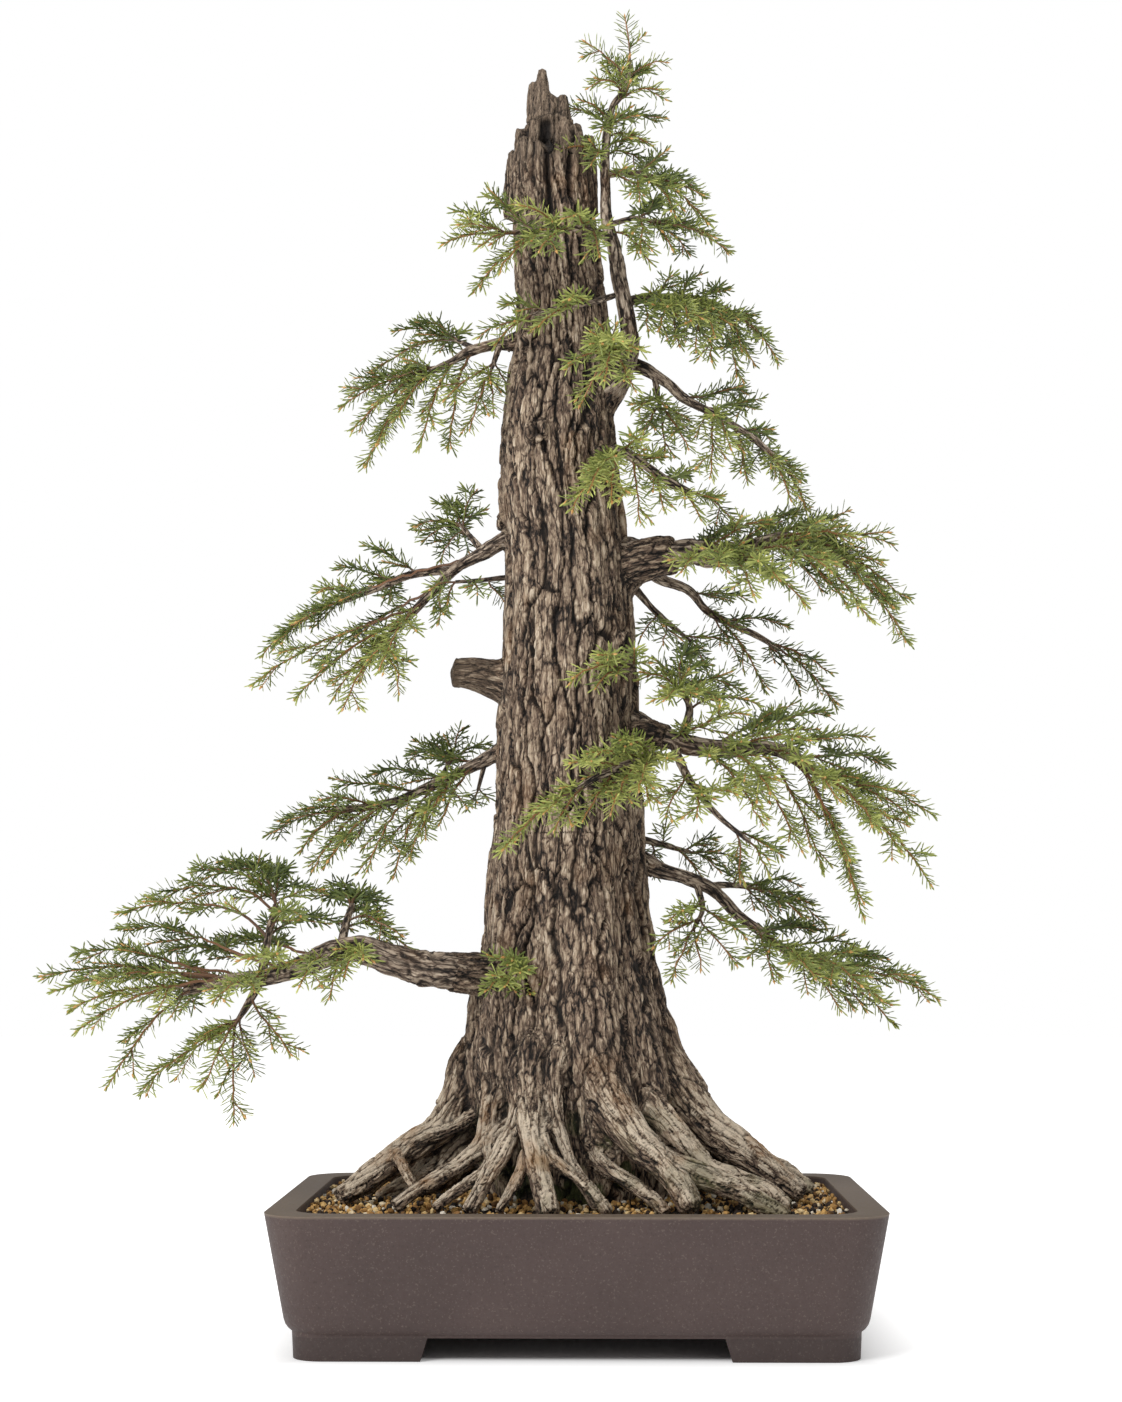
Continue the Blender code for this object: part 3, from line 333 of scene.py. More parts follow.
def makeStudio():
    bpy.ops.object.camera_add(location=Vector(camera["place"]) + Vector(home), rotation=camera["turn"])
    lens = bpy.context.object
    lens.data.lens = camera["lens"]
    lens.data.sensor_width = camera["sensor"]
    bpy.context.scene.camera = lens
    bpy.context.scene.view_settings.view_transform = "Standard"
    clearSelection()
    bpy.ops.mesh.primitive_plane_add(size=studio["floor"] * 2, location=(0, 0, studio["floorLevel"]))
    floor = bpy.context.object
    floor.name = "studio_floor"
    floorPaint, tree, shader = newFinish("floor paint", 0.9)
    place = objectPlace(tree)
    speck = noiseNode(tree, place, 3.0)
    tree.links.new(rampNode(tree, speck, [(0.3, (0.90, 0.90, 0.90, 1)), (0.7, (0.92, 0.92, 0.92, 1))]),
                   shader.inputs["Base Color"])
    # the floor glows except under the pot, where a painted shadow takes its glow away and fades back in round
    # the pot, so that the gap between the feet stays dark
    parts = addNode(tree, "ShaderNodeSeparateXYZ", {"Vector": place})
    reaches = []
    for name, middle, half in zip("XY", home, studio["paintedShadowHalf"]):
        offset = mathNode(tree, "ABSOLUTE", mathNode(tree, "SUBTRACT", parts.outputs[name], middle), 0.0)
        reaches.append(mathNode(tree, "SUBTRACT", offset, half))
    beyond = mathNode(tree, "MULTIPLY", mathNode(tree, "MAXIMUM", *reaches), studio["paintedShadowEdge"], True)
    glow = mathNode(tree, "POWER", beyond, studio["paintedShadowPower"])
    shader.inputs["Emission Color"].default_value = (1, 1, 1, 1)
    tree.links.new(mathNode(tree, "MULTIPLY", glow, studio["floorGlow"]), shader.inputs["Emission Strength"])
    floor.data.materials.append(floorPaint)
    sky = bpy.data.worlds.new("studio light")
    sky.use_nodes = True
    ground = sky.node_tree.nodes["Background"]
    ground.inputs["Color"].default_value = (1, 1, 1, 1)
    seen = addNode(sky.node_tree, "ShaderNodeLightPath").outputs["Is Camera Ray"]
    extra = mathNode(sky.node_tree, "MULTIPLY", seen, studio["backdrop"] - studio["sky"])
    sky.node_tree.links.new(mathNode(sky.node_tree, "ADD", extra, studio["sky"]), ground.inputs["Strength"])
    bpy.context.scene.world = sky
    for energy, place, size in lamps.values():
        bpy.ops.object.light_add(type="AREA", location=Vector(place) + Vector(home))
        lamp = bpy.context.object
        lamp.data.energy = energy
        lamp.data.size = size
        lamp.rotation_euler = (Vector(studio["aim"]) - Vector(place)).to_track_quat("-Z", "Y").to_euler()
    print("studio made")


makeStudio()

barkLook = {  # each pattern's scale across and along the grain, per metre
    "fibre": (1100, 1100, 80), "flake": (340, 340, 72), "crack": (190, 190, 62), "crackBend": (300, 300, 110),
    "seam": (105, 105, 14), "seamBend": (130, 130, 60), "patch": 24.0, "lichen": 150.0,
}
# how much each pattern lightens the bark, and what is taken off their sum
barkShares = {"furrow": 0.36, "flake": 1.8, "fibre": 1.1, "tone": 0.34, "crack": 0.26, "seam": 0.50}
barkBase = 2.03


def barkFinish(name, tones, depth):
    # reads what the wood's own mesh carries: grain (place along the grain), furrow, tone, dead, moss, cut
    low, middle, high, pale, ochre = (paint(*rgb) for rgb in tones)
    made, tree, shader = newFinish(name, 0.9)
    grain = carried(tree, "grain", "Vector")
    place = objectPlace(tree)
    dead, moss, cut = (carried(tree, key) for key in ("dead", "moss", "cut"))
    value = {key: carried(tree, key) for key in ("furrow", "tone")}
    value["fibre"] = noiseNode(tree, stretched(tree, grain, barkLook["fibre"]), 1.0, 5.0, 0.7)
    value["flake"] = noiseNode(tree, stretched(tree, grain, barkLook["flake"]), 1.0, 6.0, 0.68)
    patch = noiseNode(tree, place, barkLook["patch"], 3.0)
    scales = platesNode(tree, grain, barkLook["crack"], barkLook["crackBend"], 3.0)
    value["crack"] = mathNode(tree, "MULTIPLY", scales, 8.0, True)
    seams = platesNode(tree, grain, barkLook["seam"], barkLook["seamBend"], 4.0)
    value["seam"] = mathNode(tree, "MULTIPLY", seams, 14.0, True)
    shade = mathNode(tree, "MULTIPLY", value["furrow"], barkShares["furrow"])
    for key in ("flake", "fibre", "tone", "crack", "seam"):
        shade = mathNode(tree, "ADD", shade, mathNode(tree, "MULTIPLY", value[key], barkShares[key]))
    shade = mathNode(tree, "SUBTRACT", shade, barkBase)
    colour = rampNode(tree, shade, [(0.10, low), (0.46, middle), (0.80, high), (1.0, pale)])
    warm = mathNode(tree, "MULTIPLY", mathNode(tree, "SUBTRACT", patch, 0.54, True), 3.0, True)
    warm = mathNode(tree, "MULTIPLY", warm, mathNode(tree, "MULTIPLY", value["tone"], 0.8))
    colour = mixNode(tree, warm, colour, ochre)
    lichen = noiseNode(tree, place, barkLook["lichen"], 4.0, 0.7)
    lichen = mathNode(tree, "MULTIPLY", mathNode(tree, "SUBTRACT", lichen, 0.64, True), 5.0, True)
    colour = mixNode(tree, mathNode(tree, "MULTIPLY", lichen, 0.5), colour, paint(176, 170, 156))
    silver = rampNode(tree, value["fibre"], [(0.25, paint(66, 53, 43)), (0.5, paint(138, 118, 99)),
                                             (0.8, paint(188, 169, 146))])
    # the dead wood's grooves are darker: partly their own colour, partly painted shade
    silver = mixNode(tree, mathNode(tree, "MULTIPLY", value["furrow"], 1.0, True), paint(38, 31, 26), silver)
    colour = mixNode(tree, dead, colour, silver)
    sawn = rampNode(tree, value["fibre"], [(0.2, paint(52, 40, 32)), (0.55, paint(108, 90, 72)),
                                           (0.85, paint(146, 126, 104))])
    colour = mixNode(tree, cut, colour, sawn)
    green = rampNode(tree, value["flake"], [(0.3, paint(44, 50, 24)), (0.55, paint(84, 94, 46)),
                                            (0.8, paint(118, 124, 66))])
    colour = mixNode(tree, moss, colour, green)
    # painted shade: where the furrow value is low (furrows, hollows between roots, knot holes, splits) the
    # colour goes towards near black, partly the bark's own darker furrows, partly painted shade in the
    # recesses
    deep = mathNode(tree, "MULTIPLY", mathNode(tree, "SUBTRACT", 1.0, value["furrow"]), 0.74, True)
    deep = mathNode(tree, "SUBTRACT", deep, mathNode(tree, "MULTIPLY", dead, 0.22), True)
    colour = mixNode(tree, deep, colour, paint(22, 17, 13))
    tree.links.new(colour, shader.inputs["Base Color"])
    height = mathNode(tree, "MULTIPLY", value["flake"], 0.9)
    for key in ("fibre", "crack", "seam"):
        height = mathNode(tree, "ADD", height, mathNode(tree, "MULTIPLY", value[key], 0.35))
    addBump(tree, shader, height, depth)
    return made


def needleFinish():
    # leaf carries: red what it is (0 needle, 0.5 twig, 1 bud), green base to tip, blue the shoot's tint with
    # painted light in it
    made, tree, shader = newFinish("needle green", 0.46, **{"Specular IOR Level": 0.42})
    leaf = carried(tree, "leaf", "Color")
    parts = addNode(tree, "ShaderNodeSeparateColor", {"Color": leaf})
    kind, along, tintAndLight = (parts.outputs[name] for name in ("Red", "Green", "Blue"))
    place = objectPlace(tree)
    speck = noiseNode(tree, place, 120.0, 2.0)
    uneven = mathNode(tree, "SUBTRACT", speck, 0.5)
    shade = mathNode(tree, "MULTIPLY", tintAndLight, 0.80)
    for source, share in ((along, 0.18), (uneven, 0.35)):
        shade = mathNode(tree, "ADD", shade, mathNode(tree, "MULTIPLY", source, share))
    green = rampNode(tree, shade, [(0.05, paint(51, 63, 31)), (0.3, paint(91, 105, 51)),
                                   (0.6, paint(137, 147, 74)), (0.95, paint(192, 195, 110))])
    twig = rampNode(tree, along, [(0.0, paint(92, 68, 52)), (0.5, paint(150, 102, 64)),
                                  (1.0, paint(204, 150, 88))])
    bud = rampNode(tree, speck, [(0.3, paint(186, 132, 74)), (0.7, paint(222, 178, 112))])
    colour = mixNode(tree, mathNode(tree, "GREATER_THAN", kind, 0.25), green, twig)
    colour = mixNode(tree, mathNode(tree, "GREATER_THAN", kind, 0.75), colour, bud)
    tree.links.new(colour, shader.inputs["Base Color"])
    addBump(tree, shader, speck, 0.0002, 0.4)
    return made


def clayFinish(footHeight, rimHeight):
    # the feet are darker, and the top of the rim is paler: partly wear, partly a painted highlight
    made, tree, shader = newFinish("unglazed clay", 0.62, **{"Specular IOR Level": 0.36})
    place = objectPlace(tree)
    cloud = noiseNode(tree, place, 9.0, 5.0, 0.6)
    fine = noiseNode(tree, place, 260.0, 3.0, 0.6)
    grit = addNode(tree, "ShaderNodeTexVoronoi", {"Vector": place, "Scale": 420.0}).outputs["Distance"]
    spots = noiseNode(tree, place, 640.0, 1.0)
    colour = rampNode(tree, cloud, [(0.3, paint(64, 51, 48)), (0.55, paint(71, 57, 54)),
                                    (0.75, paint(78, 64, 60))])
    colour = mixNode(tree, mathNode(tree, "MULTIPLY", mathNode(tree, "GREATER_THAN", spots, 0.66), 0.4),
                     colour, paint(108, 96, 88))
    colour = mixNode(tree, mathNode(tree, "MULTIPLY", mathNode(tree, "LESS_THAN", spots, 0.33), 0.5),
                     colour, paint(52, 43, 40))
    height = addNode(tree, "ShaderNodeSeparateXYZ", {"Vector": place}).outputs["Z"]
    low = mathNode(tree, "MULTIPLY", mathNode(tree, "LESS_THAN", height, footHeight), 0.32)
    colour = mixNode(tree, low, colour, paint(34, 28, 26))
    # the top of the rim is painted paler: partly wear, partly a painted highlight where it catches the light
    paleRimFrom = rimHeight - 2.2 * mm
    rimTop = mathNode(tree, "MULTIPLY", mathNode(tree, "SUBTRACT", height, paleRimFrom), 500.0, True)
    rimWearAndHighlight = mathNode(tree, "MULTIPLY", rimTop, mathNode(tree, "ADD", fine, 0.35), True)
    colour = mixNode(tree, rimWearAndHighlight, colour, paint(116, 102, 88))
    tree.links.new(colour, shader.inputs["Base Color"])
    rough = rampNode(tree, fine, [(0.3, (0.52, 0.52, 0.52, 1)), (0.7, (0.7, 0.7, 0.7, 1))])
    tree.links.new(rough, shader.inputs["Roughness"])
    addBump(tree, shader, mathNode(tree, "ADD", grit, mathNode(tree, "MULTIPLY", fine, 0.8)), 0.00022, 0.8)
    return made


def granuleFinish():
    # shade carries each granule's own place in the mix
    made, tree, shader = newFinish("granule mix", 0.8)
    shade = carried(tree, "shade")
    fine = noiseNode(tree, objectPlace(tree), 900.0, 3.0)
    base = rampNode(tree, shade, [(0.0, paint(26, 19, 14)), (0.26, paint(58, 40, 26)),
                                  (0.42, paint(160, 116, 62)), (0.66, paint(222, 176, 104)),
                                  (0.86, paint(240, 210, 152)), (0.97, paint(244, 238, 224))])
    colour = mixNode(tree, mathNode(tree, "MULTIPLY", fine, 0.5), base, paint(92, 66, 42), "MULTIPLY")
    colour = mixNode(tree, 0.6, base, colour)
    tree.links.new(colour, shader.inputs["Base Color"])
    addBump(tree, shader, fine, 0.0005)
    return made


def earthFinish():
    made, tree, shader = newFinish("dark earth", 0.95)
    crumb = noiseNode(tree, objectPlace(tree), 320.0, 4.0)
    dark = rampNode(tree, crumb, [(0.3, paint(18, 13, 9)), (0.6, paint(40, 29, 20)),
                                  (0.8, paint(80, 60, 38))])
    tree.links.new(dark, shader.inputs["Base Color"])
    addBump(tree, shader, crumb, 0.002)
    return made


def screenFinish():
    made, tree, shader = newFinish("woven plastic screen", 0.5)
    fine = noiseNode(tree, objectPlace(tree), 300.0, 3.0)
    black = rampNode(tree, fine, [(0.3, paint(26, 27, 26)), (0.7, paint(40, 41, 40))])
    tree.links.new(black, shader.inputs["Base Color"])
    addBump(tree, shader, fine, 0.0002)
    return made


# the tones from the darkest to the palest, then the ochre of the patches
trunkBark = barkFinish("old bark", [(30, 23, 18), (115, 94, 78), (188, 166, 141), (226, 208, 184),
                                    (160, 112, 62)], 3.4 * mm)
branchBark = barkFinish("branch bark", [(28, 21, 17), (104, 87, 74), (182, 164, 144), (204, 188, 168),
                                        (140, 100, 64)], 1.8 * mm)
needleGreen = needleFinish()
granules = granuleFinish()
earth = earthFinish()
screenPlastic = screenFinish()
print("finishes made")


def selectWhere(piece, test, kind):
    # in edit mode: an edge is tested by its two ends, a face by its middle and its normal
    bpy.ops.mesh.select_mode(type=kind)
    bpy.ops.mesh.select_all(action="DESELECT")
    bpy.ops.object.mode_set(mode="OBJECT")
    mesh = piece.data
    if kind == "EDGE":
        for edge in mesh.edges:
            edge.select = bool(test(*(mesh.vertices[index].co for index in edge.vertices)))
    else:
        for face in mesh.polygons:
            face.select = bool(test(face.center, face.normal))
    bpy.ops.object.mode_set(mode="EDIT")


def roundedBlock(name, length, depth, low, high, corner, taper, segments=14):
    clearSelection()
    bpy.ops.mesh.primitive_cube_add(size=1, location=(home[0], home[1], (low + high) / 2),
                                    scale=(length, depth, high - low))
    block = bpy.context.object
    block.name = name
    bpy.ops.object.transform_apply(location=True, rotation=True, scale=True)
    bpy.ops.object.mode_set(mode="EDIT")
    selectWhere(block, lambda a, b: abs(a.z - b.z) > mm, "EDGE")
    bpy.ops.mesh.bevel(offset=corner, segments=segments, affect="EDGES")
    bpy.ops.object.mode_set(mode="OBJECT")
    for vertex in block.data.vertices:
        share = (high - vertex.co.z) / (high - low)
        for axis, half in ((0, length / 2), (1, depth / 2)):
            offset = vertex.co[axis] - home[axis]
            vertex.co[axis] = home[axis] + offset * (1 - share * taper / half)
    block.data.update()
    return block


def combine(piece, other, operation):
    made = piece.modifiers.new(operation.lower(), "BOOLEAN")
    made.object = other
    made.operation = operation
    made.solver = "EXACT"
    applyAll(piece)
    bpy.data.objects.remove(other)


pot = {
    "length": 0.450, "depth": 0.336, "height": 0.1035, "corner": 0.034, "taper": 0.0155, "rimWidth": 0.020,
    "heel": 0.011, "edge": 0.0022, "floorThick": 0.009, "drain": 0.012, "drainAt": 0.105,
    "footHeight": 0.0165, "footStep": 0.0045, "footWidth": 0.024, "footLength": (0.094, 0.082),
    "footCorner": (0.022, 0.012), "footOverlap": 0.004, "slant": 0.005,
    "past": 0.010,  # how far a cutter stands out of what it cuts
}
clay = clayFinish(pot["footHeight"], pot["height"])


def makePot():
    top, foot, past = pot["height"], pot["footHeight"], pot["past"]
    inner = pot["rimWidth"]
    body = roundedBlock("clay_pot", pot["length"], pot["depth"], foot, top, pot["corner"], pot["taper"])
    bpy.ops.object.mode_set(mode="EDIT")
    selectWhere(body, lambda a, b: max(abs(a.z - foot), abs(b.z - foot)) < 1e-5, "EDGE")
    bpy.ops.mesh.bevel(offset=pot["heel"], segments=5, affect="EDGES")
    bpy.ops.object.mode_set(mode="OBJECT")
    hollow = roundedBlock("hollow", pot["length"] - inner * 2, pot["depth"] - inner * 2,
                          foot + pot["floorThick"], top + past, pot["corner"] - inner * 0.4,
                          pot["taper"] * 0.9)
    combine(body, hollow, "DIFFERENCE")
    combine(body, makeFeet(foot, past), "UNION")
    for side in (-1, 1):
        clearSelection()
        bpy.ops.mesh.primitive_cylinder_add(vertices=48, radius=pot["drain"], depth=past * 5,
                                            location=(home[0] + side * pot["drainAt"], home[1], foot))
        combine(body, bpy.context.object, "DIFFERENCE")
    soften = body.modifiers.new("soft edges", "BEVEL")
    soften.width = pot["edge"]
    soften.segments = 4
    soften.limit_method = "ANGLE"
    soften.angle_limit = math.radians(38)
    applyAll(body)
    bpy.ops.object.shade_smooth_by_angle(angle=math.radians(32))
    finishPiece(body, clay, "pot")
    print("pot made,", len(body.data.polygons), "faces")


def makeFeet(foot, past):
    # a ring under the tub, cut through on all four sides so that four corner feet are left
    step = pot["taper"] + pot["footStep"]
    ring = roundedBlock("foot_ring", pot["length"] - step * 2, pot["depth"] - step * 2, 0.0,
                        foot + pot["footOverlap"], pot["footCorner"][0], mm)
    inner = (step + pot["footWidth"]) * 2
    inside = roundedBlock("foot_inside", pot["length"] - inner, pot["depth"] - inner, -past, foot,
                          pot["footCorner"][1], 0.0)
    combine(ring, inside, "DIFFERENCE")
    gaps = ((0, pot["length"] / 2 - step - pot["footLength"][0], pot["depth"]),
            (1, pot["depth"] / 2 - step - pot["footLength"][1], pot["length"]))
    for axis, half, across in gaps:
        clearSelection()
        sizes = [half * 2, across * 1.2, foot * 2]
        if axis:
            sizes[0], sizes[1] = sizes[1], sizes[0]
        bpy.ops.mesh.primitive_cube_add(size=1, location=(home[0], home[1], 0), scale=sizes)
        cutter = bpy.context.object
        bpy.ops.object.transform_apply(location=True, rotation=True, scale=True)
        for vertex in cutter.data.vertices:  # the feet's ends slope in towards the top
            offset = vertex.co[axis] - home[axis]
            lean = pot["slant"] * (1 if vertex.co.z < 0 else -1)
            vertex.co[axis] += lean * math.copysign(1, offset)
        cutter.data.update()
        combine(ring, cutter, "DIFFERENCE")
    return ring


makePot()
for side in ("left", "right"):
    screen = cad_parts["drain_screen_" + side]
    screen.data.materials.clear()
    screen.data.materials.append(screenPlastic)

trunk = {  # shape is height, how far the middle stands aside, and radius, in mm
    "shape": [(80, 0, 70), (104, 0, 73), (124, 0, 76), (150, -2, 79), (176, -4, 81), (206, -7, 79),
              (252, -9, 73), (291, -8, 65), (342, -9, 61), (409, -7, 57), (488, -7, 54), (600, -8, 49),
              (649, -13, 48), (714, -15, 44), (785, -11, 36), (843, -15, 33), (903, -20, 32), (945, -21, 31)],
    "heights": (78 * mm, 936 * mm), "voxel": 1.45 * mm, "lobes": 9, "lobeDepth": 0.07,
    # where the skin is divided, so that no piece has too many triangles
    "cuts": (122 * mm, 200 * mm, 380 * mm, 620 * mm),
}
barkKinds = {  # plates in one turn, a plate's length, and how deep the furrows between them are
    "trunk": (23, 120 * mm, 6.0 * mm), "root": (9, 52 * mm, 2.9 * mm), "stub": (13, 70 * mm, 1.6 * mm),
    "splinter": (10, 80 * mm, 2.6 * mm), "collar": (14, 36 * mm, 2.6 * mm),
}
splinters = [  # foot x, foot y, tip x, tip y, tip height, radius at the foot, radius at the tip, all in mm
    (-30, -14, -28, -6, 1001, 12, 4.2), (-34, -10, -36, -6, 990, 8, 3.8), (-23, -16, -20, -9, 978, 8, 3.8),
    (-6, -14, -11, -6, 979, 8, 3.8), (-12, -4, -16, 0, 966, 8, 3.4), (-46, -14, -45, -10, 950, 8, 4.4),
    (-52, 0, -54, -2, 934, 7, 4.0), (2, -16, -2, -12, 952, 8, 4.6), (9, -4, 10, -4, 946, 8, 4.6),
    (-40, 16, -40, 12, 962, 9, 2.4), (-18, 22, -20, 16, 975, 10, 2.2), (0, 16, -2, 12, 958, 8, 2.6),
]
roots = {  # name: radius at the start and at the end, then the places it goes through, in mm
    "far left": ((19, 7), [(-84, 0, 206), (-95, -8, 183), (-112, -20, 153), (-139, -40, 131),
                           (-178, -62, 107)]),
    "left strut": ((5, 4), [(-129, -44, 138), (-131, -62, 130), (-120, -78, 112)]),
    "left": ((11, 5), [(-56, -48, 193), (-66, -74, 150), (-85, -90, 135), (-109, -104, 120),
                       (-133, -112, 105)]),
    "left small": ((7, 4), [(-59, -82, 150), (-64, -100, 133), (-84, -112, 118), (-103, -118, 104)]),
    "front left": ((9, 5.5), [(-43, -72, 202), (-45, -88, 173), (-54, -108, 141), (-66, -118, 122),
                              (-78, -124, 103)]),
    "front left small": ((5, 4), [(-34, -100, 145), (-40, -116, 127), (-57, -128, 103)]),
    "middle": ((11, 8), [(-33, -74, 209), (-34, -90, 180), (-30, -112, 149), (-25, -124, 125),
                         (-20, -132, 102)]),
    "middle right": ((9, 5), [(-13, -70, 216), (-15, -88, 183), (-11, -102, 154), (-2, -112, 133),
                              (17, -122, 106)]),
    "middle small": ((5.5, 4), [(-23, -104, 160), (-17, -116, 140), (7, -124, 122), (23, -130, 103)]),
    "dark": ((7, 4), [(10, -70, 150), (19, -92, 134), (45, -108, 117), (66, -122, 102)]),
    "big right": ((17, 8), [(10, -46, 230), (16, -66, 203), (27, -84, 175), (45, -98, 150), (63, -106, 134),
                            (83, -124, 106)]),
    "big right fork": ((10, 5), [(54, -96, 142), (83, -104, 128), (113, -110, 118), (135, -116, 108),
                                 (152, -122, 100)]),
    "right": ((12, 5), [(55, -50, 171), (87, -74, 134), (113, -84, 123), (137, -92, 117), (154, -98, 104)]),
    "far right": ((23, 8), [(55, 0, 229), (70, -8, 189), (98, -20, 156), (133, -34, 133), (170, -48, 108)]),
    "left skirt": ((24, 8), [(-62, 8, 158), (-108, -14, 122), (-150, -24, 98)]),
    "right skirt": ((24, 8), [(62, 8, 158), (108, -8, 124), (146, -22, 100)]),
    "back left": ((20, 7), [(-62, 34, 214), (-88, 50, 168), (-116, 66, 136), (-150, 84, 106)]),
    "back left small": ((10, 5), [(-52, 66, 176), (-74, 88, 140), (-98, 112, 104)]),
    "back": ((17, 7), [(-20, 62, 214), (-30, 90, 164), (-44, 112, 132), (-52, 132, 102)]),
    "back middle": ((11, 6), [(2, 68, 192), (8, 96, 152), (12, 116, 124), (20, 132, 102)]),
    "back right": ((19, 7), [(36, 48, 214), (62, 74, 168), (86, 98, 134), (104, 124, 102)]),
    "back right side": ((16, 6), [(58, 26, 204), (94, 42, 156), (132, 58, 128), (166, 70, 104)]),
    "right behind": ((9, 5), [(86, 20, 156), (124, 24, 134), (160, 22, 122), (182, 24, 104)]),
    "left inner": ((20, 9), [(-48, 30, 172), (-84, 22, 142), (-110, 20, 118), (-136, 18, 98)]),
    "left low": ((16, 9), [(-50, 40, 140), (-78, 42, 119), (-98, 50, 100)]),
    "left behind": ((9, 5), [(-96, 16, 150), (-130, 12, 130), (-166, 2, 104)]),
}
splits = [  # x and height of the upper end and of the lower end, then half the width, all in mm
    ((-25, 958), (-23, 930), 7), ((-24, 944), (-21, 852), 3.4), ((-4, 950), (-6, 880), 2.6),
]
# x, y, height and size, all in mm
knots = [(-39, -30, 768, 8), (-32, -46, 694, 9), (24, -42, 674, 9), (-55, -10, 627, 8), (40, -34, 530, 7)]
stub = {"radii": (25, 12.5),
        "path": [(-30, 0, 496), (-56, 0, 502), (-64, 0, 504), (-82, 0, 508), (-98, 0, 510)]}
collars = [  # the trunk's wood running out along a thick branch: radius at both ends, then the places, in mm
    ((28, 15), [(-22, -6, 250), (-50, -16, 267), (-72, -30, 272), (-98, -43, 275)]),
    ((30, 14.5), [(8, 0, 560), (34, -4, 590), (54, -16, 598), (76, -24, 600)]),
    ((20, 10.5), [(16, 0, 440), (40, -12, 458), (56, -18, 459), (70, -22, 456)]),
    ((16, 8.5), [(2, -4, 700), (24, -12, 730), (34, -18, 748), (41, -22, 768)]),
    ((13, 6.5), [(20, 0, 346), (44, 0, 360), (60, 0, 355)]),
    ((12, 5.8), [(-26, 0, 610), (-50, 0, 619), (-66, 2, 611)]),
    ((11, 5.4), [(-34, 0, 444), (-56, 0, 448), (-70, 6, 442)]),
    ((11, 5.4), [(-22, 0, 770), (-42, 0, 778), (-56, -4, 775)]),
    ((11, 5.2), [(10, -16, 668), (22, -30, 676), (32, -50, 677)]),
]


def trunkAt(heights):
    shape = np.array(trunk["shape"], float) * mm
    fine = smoothRoute(shape, 4 * mm)
    middle = np.interp(heights, fine[:, 0], fine[:, 1])
    radius = np.interp(heights, fine[:, 0], fine[:, 2])
    return middle, radius


def rootRoute(points, radii):
    places = np.array(points, float) * mm
    # a root leaves the trunk as a rib, from well inside it
    inside = places[0] * [0.50, 0.50, 1] + [0, 0, 34 * mm]
    given = smoothRoute(np.vstack([inside, places]), 3 * mm)
    share = np.linspace(0, 1, len(given))
    spread = share * 3.6 + given[0, 0] * 90
    wander = np.stack([softNoise(np.stack([spread, share * 0 + axis, share * 0], 1), 3 + axis)
                       for axis in range(3)], axis=1)
    route = given + home + wander * [5 * mm, 4 * mm, 3 * mm] * (share * (1 - share) * 4)[:, None]
    radius = (radii[0] * 1.06 + (radii[1] - radii[0] * 1.06) * share ** 1.2) * mm
    knobs = softNoise(np.stack([share * 7, share * 0 + radii[0], share * 0], 1), 6)
    return route, radius * (1 + 0.12 * knobs)


def ringFaces(count, sides):
    # triangles of a tube of count rings, closed to its two end points, which come after the rings
    around = np.arange(sides)
    after = (around + 1) % sides
    start = np.arange(count - 1)[:, None] * sides
    first, second = start + around[None], start + after[None]
    ends, tail = count * sides, (count - 1) * sides
    return np.vstack([np.stack([first, second, first + sides], -1).reshape(-1, 3),
                      np.stack([second, second + sides, first + sides], -1).reshape(-1, 3),
                      np.stack([around * 0 + ends, after, around], -1),
                      np.stack([around * 0 + ends + 1, around + tail, after + tail], -1)])


def tube(route, radius, sides):
    # closed round tube: points and triangles
    tangent, side, top = routeFrames(route)
    turn = np.linspace(0, 2 * math.pi, sides, endpoint=False)
    ring = side[:, None] * np.cos(turn)[None, :, None] + top[:, None] * np.sin(turn)[None, :, None]
    points = (route[:, None] + ring * radius[:, None, None]).reshape(-1, 3)
    points = np.vstack([points, route[0] - tangent[0] * radius[0] * 0.3,
                        route[-1] + tangent[-1] * radius[-1] * 0.3])
    return points, ringFaces(len(route), sides)


def trunkBody():
    heights = np.arange(*trunk["heights"], 3 * mm)
    middle, radius = trunkAt(heights)
    sides = 96
    turn = np.linspace(0, 2 * math.pi, sides, endpoint=False)
    lobes = np.zeros((len(heights), sides))
    for index, height in enumerate(heights):
        deep = 0.35 + ramp(-height, -0.42, -0.14) * 1.15
        drift = height * 1.6
        lobes[index] = deep * (0.6 * np.cos(trunk["lobes"] * turn + 2.1 * np.sin(2 * turn + drift) + drift)
                               + 0.5 * np.cos(5 * turn - drift * 1.7 + 1.0))
    reach = radius[:, None] * (1 + trunk["lobeDepth"] * lobes)
    points = np.stack([home[0] + middle[:, None] + reach * np.cos(turn)[None],
                       home[1] + reach * np.sin(turn)[None],
                       np.broadcast_to(heights[:, None], reach.shape)], -1)
    points[-1, :, 2] += 10 * mm * softNoise(np.stack([np.cos(turn) * 3, np.sin(turn) * 3, turn * 0], -1), 8)
    points = np.vstack([points.reshape(-1, 3), [home[0], home[1], heights[0]],
                        [home[0] + middle[-1], home[1], heights[-1] - 16 * mm]])
    return points, ringFaces(len(heights), sides)


def taperedRoute(places, thick, thin, power):
    # places and radii are in mm; a high power keeps the strand thick until near its end
    route = smoothRoute(np.array(places, float) * mm, 3 * mm) + home
    share = np.linspace(0, 1, len(route))
    return route, (thick + (thin - thick) * share ** power) * mm


